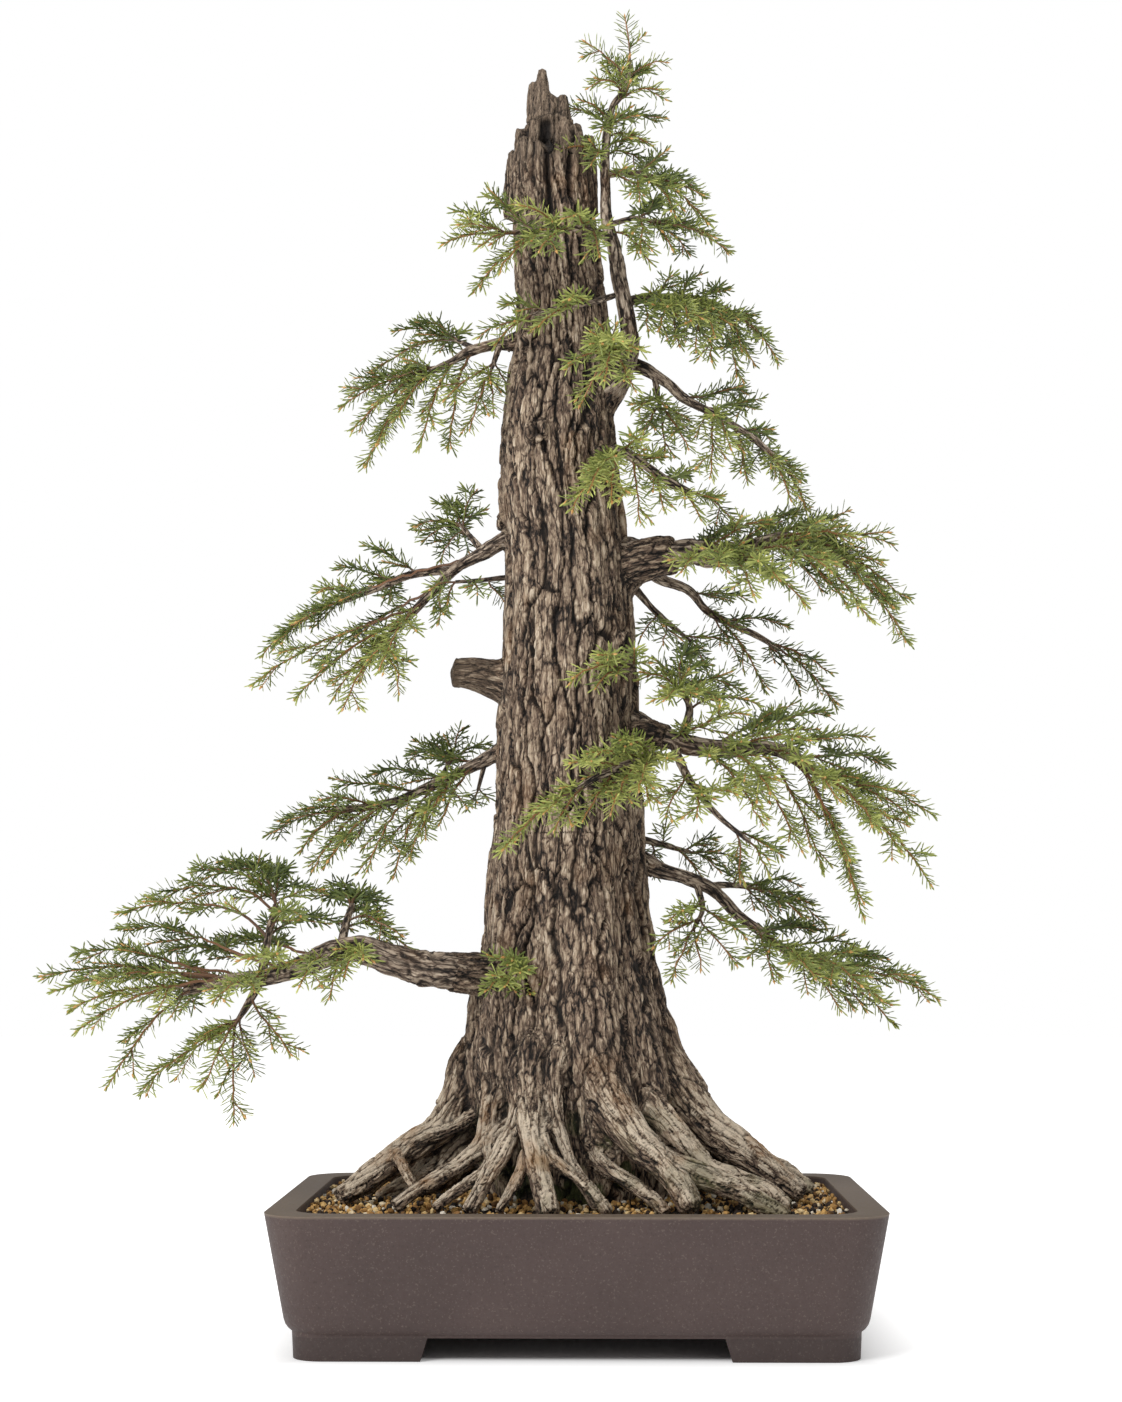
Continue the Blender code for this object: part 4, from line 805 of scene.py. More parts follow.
def strandList():
    # each strand of wood: its route, its radius and what it is
    heights = np.arange(*trunk["heights"], 4 * mm)
    middle, radius = trunkAt(heights)
    strands = [(np.stack([home[0] + middle, home[1] + middle * 0, heights], 1), radius, "trunk")]
    for radii, places in roots.values():
        strands.append((*rootRoute(places, radii), "root"))
    strands.append((*taperedRoute(stub["path"], *stub["radii"], 0.55), "stub"))
    for radii, places in collars:
        strands.append((*taperedRoute(places, *radii, 0.6), "collar"))
    for footX, footY, tipX, tipY, tipZ, footRadius, tipRadius in splinters:
        places = [(footX, footY, 880), ((footX + tipX) / 2, (footY + tipY) / 2, 930), (tipX, tipY, tipZ)]
        strands.append((*taperedRoute(places, footRadius, tipRadius, 2.6), "splinter"))
    return strands


def grainOf(points, strands):
    # for each point the two nearest strands: place along the grain, depth of each and how much each counts
    best = np.full((2, len(points)), 9.0)
    grain = np.zeros((2, len(points), 3))
    numbers = np.zeros((2, len(points)), int)
    for number, (route, radius, kind) in enumerate(strands):
        low = route.min(0) - radius.max() - 0.03
        high = route.max(0) + radius.max() + 0.03
        near = np.where(np.all((points > low) & (points < high), axis=1))[0]
        if not len(near):
            continue
        tangent, side, top = routeFrames(route, (0.0, -1.0, 0.2) if kind != "root" else (0.0, 0.0, 1.0))
        gone = lengthAlong(route)
        for start in range(0, len(near), 20000):
            chosen = near[start:start + 20000]
            there = points[chosen]
            distance = np.linalg.norm(there[:, None] - route[None], axis=2) - radius[None]
            index = distance.argmin(1)
            gap = distance[np.arange(len(chosen)), index]
            offset = there - route[index]
            across, up, ahead = (np.einsum("ij,ij->i", offset, way[index]) for way in (side, top, tangent))
            flat = np.stack([across, up, gone[index] + ahead], 1)
            nearest = gap < best[0, chosen]
            second = ~nearest & (gap < best[1, chosen])
            moved = chosen[nearest]
            for kept in (best, grain, numbers):
                kept[1, moved] = kept[0, moved]
            for order, take in ((1, second), (0, nearest)):
                best[order, chosen[take]] = gap[take]
                grain[order, chosen[take]] = flat[take]
                numbers[order, chosen[take]] = number
    weight = np.exp(-np.clip(best - best[0], 0, 0.05) / (5 * mm))
    return grain, numbers, weight / weight.sum(0)


def barkRelief(grain, strand, plates, length):
    # height from 0 in the furrows to 1 on the plates, how far out of a furrow it is, and each plate's tone
    salt = 40 + int(strand) * 3
    apart = grain + strand * 0.37
    slow = [softNoise(apart / [0.026, 0.026, 0.042], 11 + axis) for axis in range(2)]
    quick = [layeredNoise(apart / [0.007, 0.007, 0.012], 2, 31 + axis) for axis in range(2)]
    around = np.arctan2(grain[:, 1], grain[:, 0]) / (2 * math.pi) * plates + slow[0] * 0.45 + quick[0] * 0.15
    along = grain[:, 2] / length + slow[1] * 0.20 + quick[1] * 0.04
    gap, tone, away = barkCells(around, along, plates, salt)
    edge = ramp(gap, 0.03, 0.25)
    shoulder = ramp(gap, 0.08, 0.60)
    lift = np.clip(away * (tone - 0.3) * 1.6, -0.5, 0.5)
    innerGap, innerTone, _ = barkCells(around * 2, along * 6.5 + 3.7, plates * 2, salt + 20)
    crack = ramp(innerGap, 0.0, 0.30)
    height = edge * (0.46 + 0.26 * shoulder + 0.28 * tone + 0.35 * lift) - (1 - crack) * 0.16 * edge
    height = height + edge * (innerTone - 0.5) * 0.26
    return height, edge * (0.72 + 0.28 * crack), tone * 0.5 + innerTone * 0.5


def hollows(points, faces, rounds):
    # how far each point lies in a hollow: how much the surface rises there when it's evened out
    first, second = np.concatenate([faces[:, [0, 1]], faces[:, [1, 2]], faces[:, [2, 0]]]).T
    counts = np.maximum(np.bincount(first, minlength=len(points)), 1)
    even = points
    for _ in range(rounds):
        even = np.stack([np.bincount(first, even[second, axis], len(points)) / counts
                         for axis in range(3)], 1)
    flat = np.cross(points[faces[:, 1]] - points[faces[:, 0]], points[faces[:, 2]] - points[faces[:, 0]])
    normals = np.stack([sum(np.bincount(faces[:, corner], flat[:, axis], len(points)) for corner in range(3))
                        for axis in range(3)], 1)
    return np.einsum("ij,ij->i", even - points, unit(normals))


def knotAt(x, y, z):
    # the trunk's centre and radius at a knot's height, and the way the knot faces
    spot = np.array([x, y, z], float) * mm
    middle, radius = trunkAt(np.array([spot[2]]))
    centre = np.array([middle[0], 0, spot[2]])
    return centre, radius[0], unit(spot - centre)


def woodSkin(strands):
    # trunk, strands and knots under one skin: its points, triangles and normals
    parts = [trunkBody()]
    for route, radius, _ in strands[1:]:
        parts.append(tube(route, radius, 20))
    for x, y, z, size in knots:
        centre, radius, outward = knotAt(x, y, z)
        surface = centre + outward * radius + home
        route = np.linspace(surface - outward * 12 * mm, surface + outward * 5.5 * mm + [0, 0, 2 * mm], 8)
        parts.append(tube(route, np.linspace(size * 1.25, size * 0.9, 8) * mm, 20))
    points, faces, _ = joinParts([(p, f, np.zeros(len(p))) for p, f in parts])
    wood = meshPiece("trunk_wood", points, faces)
    remesh = wood.modifiers.new("one skin", "REMESH")
    remesh.mode = "VOXEL"
    remesh.voxel_size = trunk["voxel"] * 1
    remesh.adaptivity = 0
    soften = wood.modifiers.new("soften", "SMOOTH")
    soften.factor = 0.5
    soften.iterations = 4
    applyAll(wood)
    points, faces = readMesh(wood)
    normals = np.empty(len(wood.data.vertices) * 3)
    wood.data.vertices.foreach_get("normal", normals)
    bpy.data.objects.remove(wood)
    print("trunk skin,", len(points), "points")
    return points, faces, normals.reshape(-1, 3)


def barkOn(strands, grain, numbers, weight):
    # the bark of the nearest two strands, mixed: height, furrow, tone and how much each kind of wood counts
    count = numbers.shape[1]
    height, furrow, tone = np.zeros(count), np.zeros(count), np.zeros(count)
    share = {kind: np.zeros(count) for kind in barkKinds}
    for order in (0, 1):
        for number, (_, _, kind) in enumerate(strands):
            here = (numbers[order] == number) & (weight[order] > 0.02)
            if not here.any():
                continue
            plates, length, depth = barkKinds[kind]
            relief, edge, own = barkRelief(grain[order][here], number, plates, length)
            counts = weight[order][here]
            height[here] += counts * (relief - 0.62) * depth
            furrow[here] += counts * edge
            tone[here] += counts * own
            share[kind][here] += counts
    return height, furrow, tone, share


def sinkHoles(local, height, broad):
    # the knots' hollow middles and the splits in the deadwood: the new height, and where the holes are
    holes = np.zeros(len(local))
    for x, y, z, size in knots:
        centre, _, outward = knotAt(x, y, z)
        offset = local - centre
        beyond = offset @ outward
        aside = np.linalg.norm(offset - beyond[:, None] * outward, axis=1)
        inside = (beyond > 0) * ramp(-aside, -size * mm * 0.75, -size * mm * 0.35)
        height = height - inside * 5 * mm
        holes = np.maximum(holes, inside)
    for (upperX, upperZ), (lowerX, lowerZ), half in splits:
        drop = (upperZ * mm - local[:, 2]) / ((upperZ - lowerZ) * mm)
        line = (upperX + (lowerX - upperX) * np.clip(drop, 0, 1)) * mm
        split = ramp(-np.abs(local[:, 0] - line - broad * 2 * mm), -half * mm, -half * mm * 0.4)
        split *= (local[:, 1] < 0) * ramp(drop, -0.02, 0.12) * ramp(-drop, -1.05, -0.7)
        height = height - split * 7 * mm
        holes = np.maximum(holes, split)
    return height, holes


def makeTrunk():
    strands = strandList()
    points, faces, normals = woodSkin(strands)
    grain, numbers, weight = grainOf(points, strands)
    height, furrow, tone, share = barkOn(strands, grain, numbers, weight)
    rooty = share["root"]
    local = points - home
    downward, leftward = -local[:, 2], -local[:, 0]  # for what grows downwards or to the left
    dead = ramp(local[:, 2], 0.90, 0.935) * 0.85
    broad = layeredNoise(local / [0.05, 0.05, 0.16], 3, 71)
    low = ramp(downward, -0.30, -0.16) * (1 - rooty)
    height = height * (1 - 0.5 * dead) + broad * (1.6 + 2.4 * low) * mm
    fibres = layeredNoise(grain[0] / [0.0040, 0.0040, 0.016], 2, 91)
    height += fibres * (0.50 + 0.5 * dead) * mm
    height, holes = sinkHoles(local, height, broad)
    cutEnd = share["stub"] * ramp(leftward, 0.092, 0.098)
    height = height * (1 - cutEnd * 0.6)
    points = points + normals * height[:, None]
    # painted shade: the furrow value is lowered in knot holes and splits, in narrow hollows and in the wide
    # hollows between the roots, and the bark's colour then paints these darker
    narrow = ramp(hollows(points, faces, 8), 0.05 * mm, 0.75 * mm)
    wide = ramp(hollows(points, faces, 70), 0.8 * mm, 5.0 * mm) * ramp(downward, -0.28, -0.20)
    furrow = furrow * (1 - 0.9 * holes) * (1 - 0.45 * narrow) * (1 - 0.75 * wide)
    furrow = np.clip(furrow + broad * 0.10, 0, 1)
    # the upper sides of the roots are painted paler, a painted highlight where light falls on them, and the
    # wood round a thick branch is darker
    litRootTops = rooty * 1.5 * ramp(normals[:, 2], -0.2, 0.4) * ramp(downward, -0.21, -0.15)
    tone = np.clip(tone + litRootTops - share["collar"] * 0.45, 0, 2.4)
    damp = ramp(layeredNoise(local / 0.018, 3, 55), -0.05, 0.45)
    mossy = ramp(downward, -0.190, -0.135) * damp * ramp(1 - rooty * 0.55 + broad * 0.2, 0.35, 0.8)
    cut = cutEnd * 0.9 + share["stub"] * ramp(leftward, 0.056, 0.072) * 0.6
    values = {"furrow": furrow, "tone": tone, "dead": dead, "moss": mossy * 0.85, "cut": np.clip(cut, 0, 1)}
    return points, faces, grain[0], values


def splitPiece(name, points, faces, grain, values, keep):
    chosen = faces[keep]
    used = np.unique(chosen)
    index = np.zeros(len(points), int)
    index[used] = np.arange(len(used))
    piece = meshPiece(name, points[used], index[chosen])
    addVectors(piece, "grain", grain[used])
    for key, value in values.items():
        addValues(piece, key, value[used])
    # the cut face is closed, so that each piece is a whole solid
    selectOnly(piece)
    bpy.ops.object.mode_set(mode="EDIT")
    bpy.ops.mesh.select_mode(type="EDGE")
    bpy.ops.mesh.select_all(action="DESELECT")
    bpy.ops.mesh.select_non_manifold(extend=False, use_wire=False, use_multi_face=False,
                                     use_non_contiguous=False, use_verts=False)
    bpy.ops.mesh.edge_face_add()
    bpy.ops.mesh.select_all(action="DESELECT")
    bpy.ops.object.mode_set(mode="OBJECT")
    finishPiece(piece, trunkBark, "trunk")
    print(name, "made,", len(piece.data.polygons), "faces")


trunkPoints, trunkFaces, trunkGrain, trunkValues = makeTrunk()
faceHeights = trunkPoints[trunkFaces][:, :, 2].mean(1)
levels = (-1.0,) + trunk["cuts"] + (9.0,)
trunkNames = ("trunk_roots", "trunk_root_flare", "trunk_foot", "trunk_middle", "trunk_top")
for name, lower, upper in zip(trunkNames, levels, levels[1:]):
    level = (faceHeights >= lower) & (faceHeights < upper)
    splitPiece(name, trunkPoints, trunkFaces, trunkGrain, trunkValues, level)
trunkSkin = BVHTree.FromPolygons([Vector(p) for p in trunkPoints], [tuple(f) for f in trunkFaces])

soil = {
    "edge": 0.0965, "mound": 0.006, "bed": 0.0935, "voxel": 5 * mm, "margin": 0.0205, "gap": 3 * mm,
    "corner": 0.020, "spacing": 4.9 * mm, "size": (1.6 * mm, 3.3 * mm), "small": (1.2 * mm, 2.2 * mm),
    "kept": 0.78,  # the share of places that hold a granule
    "upperLayer": (1.5, 2.6 * mm),  # how much wider its spacing is, and how much higher it lies
}


def soilHeight(x, y):
    halfX, halfY = pot["length"] / 2 - pot["rimWidth"], pot["depth"] / 2 - pot["rimWidth"]
    reach = np.maximum(np.abs(x) / halfX, np.abs(y) / halfY)
    return soil["edge"] + soil["mound"] * ramp(1 - reach, 0.0, 0.55)


def makeSoilBed():
    length, depth = (pot[key] - soil["margin"] * 2 - soil["gap"] for key in ("length", "depth"))
    bed = roundedBlock("soil_bed", length, depth, pot["footHeight"] + pot["floorThick"] + mm, soil["bed"],
                       soil["corner"], pot["taper"] * 0.9, 8)
    even = bed.modifiers.new("even faces", "REMESH")
    even.mode = "VOXEL"
    even.voxel_size = soil["voxel"]
    applyAll(bed)
    for vertex in bed.data.vertices:
        if vertex.co.z > soil["bed"] - 2 * mm:
            x, y = vertex.co.x - home[0], vertex.co.y - home[1]
            vertex.co.z += float(soilHeight(x, y)) - soil["edge"]
    bed.data.shade_smooth()
    finishPiece(bed, earth, "soil")


def granulePlaces(draw):
    # two loose layers, without what would stand outside the tub or deep inside the wood
    halfX, halfY = (pot[key] / 2 - soil["margin"] - soil["gap"] for key in ("length", "depth"))
    places = []
    widen, raised = soil["upperLayer"]
    for gap, lift in ((soil["spacing"], 0.0), (soil["spacing"] * widen, raised)):
        across = np.arange(-halfX, halfX, gap)
        deep = np.arange(-halfY, halfY, gap)
        x, y = (grid.ravel() for grid in np.meshgrid(across, deep))
        x = x + draw.uniform(-0.5, 0.5, len(x)) * gap
        y = y + draw.uniform(-0.5, 0.5, len(y)) * gap
        places.append(np.stack([x, y, soilHeight(x, y) + lift + draw.uniform(-1.2, 0.8, len(x)) * mm], 1))
    places = np.vstack(places)
    cornerX = np.abs(places[:, 0]) - (halfX - soil["corner"])
    cornerY = np.abs(places[:, 1]) - (halfY - soil["corner"])
    outside = (cornerX > 0) & (cornerY > 0) & (np.hypot(cornerX, cornerY) > soil["corner"])
    outside |= (np.abs(places[:, 0]) > halfX) | (np.abs(places[:, 1]) > halfY)
    places = places[~outside] + home
    kept = []
    for place in places:
        near, normal, _, distance = trunkSkin.find_nearest(Vector(place))
        inside = (Vector(place) - near).dot(normal) < 0
        kept.append(not (inside and distance > mm) and draw.random() < soil["kept"])
    return places[np.array(kept)]


def makeGranules():
    clearSelection()
    bpy.ops.mesh.primitive_ico_sphere_add(subdivisions=1, radius=1.0)
    pebble = bpy.context.object
    shapePoints, shapeFaces = readMesh(pebble)
    bpy.data.objects.remove(pebble)
    draw = np.random.default_rng(17)
    places = granulePlaces(draw)
    parts = []
    for place in places:
        size = draw.uniform(*soil["size"]) if draw.random() < 0.8 else draw.uniform(*soil["small"])
        stretch = draw.uniform(0.62, 1.15, 3) * size
        lumpy = shapePoints * (1 + draw.uniform(-0.16, 0.16, (len(shapePoints), 1)))
        a, b, _ = draw.uniform(0, 2 * math.pi, 3)
        turnZ = np.array([[math.cos(a), -math.sin(a), 0], [math.sin(a), math.cos(a), 0], [0, 0, 1]])
        turnX = np.array([[1, 0, 0], [0, math.cos(b), -math.sin(b)], [0, math.sin(b), math.cos(b)]])
        tone = draw.random()
        tone = tone * 0.62 if draw.random() < 0.56 else 0.45 + tone * 0.55
        parts.append(((lumpy * stretch) @ turnZ.T @ turnX.T + place, shapeFaces, np.full(len(lumpy), tone)))
    points, faces, shades = joinParts(parts)
    piece = meshPiece("soil_granules", points, faces, smooth=False)
    addValues(piece, "shade", shades)
    print("granules,", len(places))
    finishPiece(piece, granules, "soil")


makeSoilBed()
makeGranules()


# Every place is in mm from the middle of the pot at floor level. A branch has arms: the path of the bare
# wood, its radius at both ends, the spray that its shoots belong to, and the tips that they reach, each
# with how far along the arm its shoot starts, from 0 to 1.
branches = {
    "low_left": [
        {"spray": "low_left", "radii": (15, 4), "path": [(-60, -20, 271), (-94, -42, 275),
            (-117, -50, 277), (-142, -55, 284), (-167, -52, 292), (-191, -46, 287), (-216, -42, 277),
            (-242, -40, 270), (-271, -38, 267), (-301, -40, 260)],
         "tips": [(-42, -88, 275, 0.02), (-53, -82, 264, 0.04), (-68, -74, 260, 0.04),
            (-48, -84, 284, 0.03), (-411, -30, 269, 0.9), (-397, -62, 259, 0.86), (-392, -5, 288, 0.88),
            (-380, -75, 247, 0.95), (-372, -90, 232, 0.85), (-351, -80, 190, 0.96), (-387, 30, 263, 0.8),
            (-365, 25, 307, 0.72), (-184, -88, 256, 0.55), (-205, -100, 265, 0.6), (-158, -95, 284, 0.5),
            (-173, -90, 272, 0.5), (-241, -110, 284, 0.68), (-267, -110, 254, 0.75), (-339, 60, 287, 0.7),
            (-283, 65, 295, 0.62), (-318, 40, 243, 0.8), (-341, -10, 252, 0.9)]},
        {"spray": "low_left", "radii": (4, 2.2), "path": [(-242, -40, 270), (-240, -25, 299),
            (-235, -15, 326)],
         "tips": [(-338, 0, 332, 0.9), (-308, 30, 353, 1), (-287, 60, 362, 1), (-200, -10, 337, 1),
            (-247, 70, 357, 0.95), (-352, -40, 320, 0.55), (-209, -70, 317, 0.7), (-188, 50, 311, 0.5)]},
        {"spray": "low_left", "radii": (4, 2.2), "path": [(-181, -48, 289), (-179, -30, 310),
            (-175, -20, 326)],
         "tips": [(-131, -5, 292, 0.6), (-154, 30, 311, 0.8), (-173, 60, 326, 1), (-199, 40, 331, 0.9),
            (-135, -50, 302, 0.7)]},
        {"spray": "low_left", "radii": (4, 2), "path": [(-242, -40, 270), (-250, -48, 252),
            (-258, -52, 238)],
         "tips": [(-330, -60, 184, 1), (-257, -75, 164, 1), (-214, -85, 214, 0.5), (-307, -20, 206, 0.9),
            (-248, -30, 195, 0.95), (-275, -100, 192, 0.9)]},
    ],
    "left_second": [
        {"spray": "left_second", "radii": (5.2, 2.4), "path": [(-56, 0, 447), (-77, 8, 439),
            (-98, 14, 429), (-119, 20, 420), (-144, 26, 410), (-170, 30, 405), (-197, 32, 402)],
         "tips": [(-247, 30, 383, 0.9), (-239, 60, 395, 0.85), (-208, -5, 353, 0.8), (-192, -30, 360, 0.7),
            (-162, -35, 352, 0.6), (-143, -20, 348, 0.5), (-130, -30, 363, 0.42), (-122, -25, 381, 0.35),
            (-107, -20, 388, 0.3), (-194, 60, 423, 0.6), (-166, 70, 434, 0.45), (-137, 70, 451, 0.3),
            (-185, 60, 376, 0.7), (-220, 10, 370, 0.9), (-203, 0, 409, 0.8)]},
        {"spray": "left_second", "radii": (2.4, 1.6), "path": [(-110, 16, 424), (-103, 40, 443)],
         "tips": [(-95, 60, 470, 1), (-122, 75, 459, 0.8), (-76, 70, 458, 0.7)]},
        {"spray": "left_second", "radii": (2, 1.4), "path": [(-73, 6, 440), (-79, 10, 417)],
         "tips": [(-84, 0, 403, 1), (-71, 20, 410, 0.9)]},
    ],
    "left_third": [
        {"spray": "left_third", "radii": (5.8, 2.6), "path": [(-52, 0, 618), (-76, 4, 606), (-99, 8, 593),
            (-127, 0, 562), (-141, -5, 547)],
         "tips": [(-240, 10, 537, 0.45), (-254, -25, 497, 0.85), (-217, -40, 487, 0.9),
            (-190, -30, 487, 1), (-179, -60, 475, 1), (-138, -45, 490, 1), (-150, -70, 504, 0.8),
            (-109, -20, 547, 0.6), (-208, 30, 520, 0.7), (-176, 40, 509, 0.9)]},
        {"spray": "left_third", "radii": (3.6, 1.8), "path": [(-99, 8, 593), (-133, 16, 591),
            (-164, 20, 579), (-194, 20, 568)],
         "tips": [(-241, 15, 537, 0.9), (-257, 45, 530, 0.95), (-227, 50, 559, 0.8), (-172, 40, 618, 0.3),
            (-196, 60, 602, 0.5), (-203, -20, 573, 0.8), (-154, 60, 577, 0.5)]},
        {"spray": "left_third", "radii": (2.8, 1.6), "path": [(-78, 6, 611), (-95, 30, 634)],
         "tips": [(-130, 40, 635, 1), (-128, 70, 627, 0.9), (-84, 50, 665, 0.9), (-107, 80, 659, 1),
            (-115, 80, 613, 0.7)]},
        {"spray": "left_third", "radii": (2.2, 1.4), "path": [(-56, 0, 586), (-79, -10, 582),
            (-96, -16, 580)],
         "tips": [(-103, -20, 557, 1), (-77, -30, 568, 0.6), (-59, 10, 569, 0.4), (-115, -30, 572, 1)]},
    ],
    "left_fourth": [
        {"spray": "left_fourth", "radii": (5.2, 2.4), "path": [(-43, 0, 777), (-65, -6, 774),
            (-86, -10, 767), (-100, -10, 759), (-118, -8, 751)],
         "tips": [(-190, 0, 724, 0.9), (-177, -25, 701, 1), (-167, -20, 673, 1), (-160, 20, 702, 0.9),
            (-124, -30, 685, 0.75), (-102, -20, 688, 0.6), (-167, 30, 750, 0.9), (-143, -40, 705, 0.9),
            (-187, 45, 745, 1)]},
        {"spray": "left_fourth", "radii": (2.4, 1.4), "path": [(-79, -9, 769), (-99, 15, 783)],
         "tips": [(-149, 30, 795, 1), (-130, 50, 807, 0.9), (-168, 45, 764, 1), (-114, 60, 786, 0.7)]},
        {"spray": "left_fourth", "radii": (2.6, 1.4), "path": [(-62, -6, 773), (-68, -20, 750)],
         "tips": [(-66, -25, 714, 1), (-84, -40, 697, 0.9), (-56, 0, 742, 0.7), (-103, -50, 718, 0.8)]},
    ],
    "right_fourth": [
        {"spray": "right_fourth", "radii": (4.8, 2.2), "path": [(42, 0, 759), (69, -6, 744),
            (85, -12, 728), (106, -18, 715), (136, -24, 695), (156, -22, 678)],
         "tips": [(181, -22, 637, 1), (179, 10, 666, 1), (166, -50, 639, 0.95), (137, 25, 741, 0.5),
            (145, 45, 731, 0.6), (104, -65, 654, 0.6), (132, -50, 653, 0.75), (156, 30, 703, 0.8),
            (161, 40, 676, 0.9), (118, -70, 674, 0.65)]},
        {"spray": "right_fourth", "radii": (2.6, 1.4), "path": [(62, -4, 747), (66, -24, 716)],
         "tips": [(69, -45, 679, 1), (86, -60, 678, 0.9), (53, -50, 694, 0.8), (91, 20, 709, 0.7),
            (49, -60, 708, 0.6)]},
    ],
    "front_upper": [
        {"spray": "front_upper", "radii": (5.2, 2.4), "path": [(23, -30, 676), (34, -55, 676),
            (49, -68, 665), (67, -70, 652), (88, -58, 643)],
         "tips": [(122, -30, 628, 1), (106, -70, 635, 1), (85, -20, 661, 0.8), (94, -80, 618, 0.9),
            (66, -95, 623, 0.7), (48, -90, 617, 0.5), (26, -100, 629, 0.35), (-3, -90, 624, 0.25),
            (10, -105, 636, 0.3), (49, -95, 677, 0.45), (65, -30, 678, 0.6)]},
    ],
    "right_third": [
        {"spray": "right_third", "radii": (13.5, 4.5), "path": [(34, -4, 599), (54, -16, 600),
            (68, -22, 599), (88, -28, 601), (113, -30, 598), (136, -30, 604), (158, -28, 611),
            (180, -20, 612)],
         "tips": [(250, 0, 612, 0.95), (257, -20, 564, 1), (244, -50, 556, 0.95), (258, -40, 528, 0.97),
            (244, 30, 580, 0.95), (206, -65, 556, 0.8), (231, 60, 601, 0.85), (173, -85, 553, 0.6),
            (134, -90, 558, 0.6), (107, -95, 580, 0.6), (80, -80, 578, 0.5), (153, -100, 568, 0.62),
            (213, 25, 633, 0.75), (182, 50, 645, 0.6), (217, -70, 604, 0.8), (192, -95, 576, 0.7),
            (149, -60, 621, 0.5), (132, 45, 632, 0.45), (175, 70, 619, 0.55), (223, -80, 540, 0.85),
            (195, 20, 578, 0.8)]},
    ],
    "right_behind": [
        {"spray": "right_behind", "radii": (4.6, 2), "path": [(50, 20, 597), (67, 30, 589), (90, 38, 581),
            (105, 44, 565), (127, 50, 554), (146, 55, 546), (165, 58, 535)],
         "tips": [(210, 60, 488, 1), (203, 35, 513, 0.95), (172, 75, 557, 0.7), (151, 40, 501, 0.65),
            (182, 70, 503, 0.9), (138, 70, 578, 0.5), (133, 75, 528, 0.55)]},
        {"spray": "right_behind", "radii": (3.2, 1.6), "path": [(47, 16, 578), (65, 22, 559),
            (91, 28, 538)],
         "tips": [(107, 30, 509, 1), (120, 45, 539, 0.9), (68, 5, 532, 0.6), (51, 0, 539, 0.4),
            (91, 50, 521, 0.9)]},
    ],
    "front_sprig": [
        {"spray": "front_sprig", "radii": (3, 1.8), "path": [(43, -44, 508), (32, -66, 507)],
         "tips": [(-1, -85, 497, 1), (18, -95, 512, 0.9), (14, -80, 489, 0.8), (44, -80, 518, 0.6)]},
    ],
    "right_second": [
        {"spray": "right_second", "radii": (10, 4), "path": [(41, -10, 465), (66, -20, 457),
            (88, -30, 449), (107, -38, 446), (124, -44, 445), (145, -46, 446), (164, -44, 440),
            (184, -40, 428)],
         "tips": [(200, 20, 479, 0.6), (225, 10, 457, 0.8), (250, 30, 438, 0.9), (277, -20, 395, 1),
            (257, -45, 392, 1), (270, -50, 341, 1), (243, -80, 366, 0.95), (216, -75, 316, 0.85),
            (168, -90, 365, 0.6), (187, -65, 352, 0.7), (138, -105, 384, 0.45), (245, 60, 412, 0.95),
            (195, -110, 402, 0.75), (172, 50, 476, 0.5), (211, -30, 345, 0.85), (226, -100, 380, 0.85),
            (128, -80, 468, 0.35), (175, -100, 447, 0.6), (143, -120, 408, 0.5)]},
        {"spray": "right_second", "radii": (4, 2), "path": [(80, -28, 451), (88, -20, 478),
            (80, -30, 494)],
         "tips": [(49, -60, 503, 0.9), (61, -20, 517, 1), (97, 0, 516, 1), (130, 20, 498, 0.8),
            (143, -20, 482, 0.6), (109, -80, 479, 0.7), (67, -85, 479, 0.7), (90, 20, 530, 1)]},
        {"spray": "right_second", "radii": (3.6, 1.6), "path": [(74, -26, 452), (86, -60, 420),
            (106, -75, 393), (130, -82, 372)],
         "tips": [(144, -80, 349, 1), (124, -60, 344, 0.9), (90, -100, 390, 0.5), (119, -110, 405, 0.5),
            (155, -60, 363, 0.9), (67, -95, 391, 0.35)]},
    ],
    "front_low": [
        {"spray": "front_low", "radii": (5.2, 2.4), "path": [(56, -40, 439), (37, -74, 430),
            (18, -92, 421), (-3, -104, 408)],
         "tips": [(-55, -120, 363, 1), (-35, -95, 392, 0.9), (-16, -125, 379, 0.9), (14, -110, 435, 0.4),
            (25, -120, 392, 0.4), (-4, -125, 427, 0.65), (47, -115, 409, 0.25), (6, -110, 387, 0.6),
            (33, -100, 447, 0.3), (55, -100, 402, 0.1)]},
    ],
    "right_low": [
        {"spray": "right_low", "radii": (6.4, 2.6), "path": [(46, 0, 360), (65, 0, 353), (83, -2, 348),
            (104, -6, 339), (114, -8, 330), (125, -10, 318), (140, -14, 307), (157, -18, 293),
            (179, -22, 281)],
         "tips": [(277, -30, 253, 1), (269, 10, 264, 1), (241, -45, 235, 1), (227, -80, 254, 0.95),
            (199, -60, 246, 0.85), (177, -90, 270, 0.8), (150, -55, 268, 0.7), (218, 15, 294, 0.85),
            (242, 50, 283, 0.95), (215, 20, 248, 0.9), (187, 60, 307, 0.75), (210, -100, 265, 0.9)]},
        {"spray": "right_low", "radii": (3, 1.6), "path": [(104, -6, 341), (120, 12, 342), (138, 20, 340)],
         "tips": [(184, 20, 327, 1), (170, 45, 347, 0.9), (198, 40, 311, 1), (151, 0, 318, 0.8),
            (130, 40, 355, 0.6), (173, -20, 318, 0.9)]},
        {"spray": "right_low", "radii": (2.8, 1.4), "path": [(93, -4, 343), (97, -24, 323),
            (90, -34, 308)],
         "tips": [(72, -60, 269, 1), (95, -45, 277, 1), (59, -50, 294, 0.8), (120, -50, 281, 0.8),
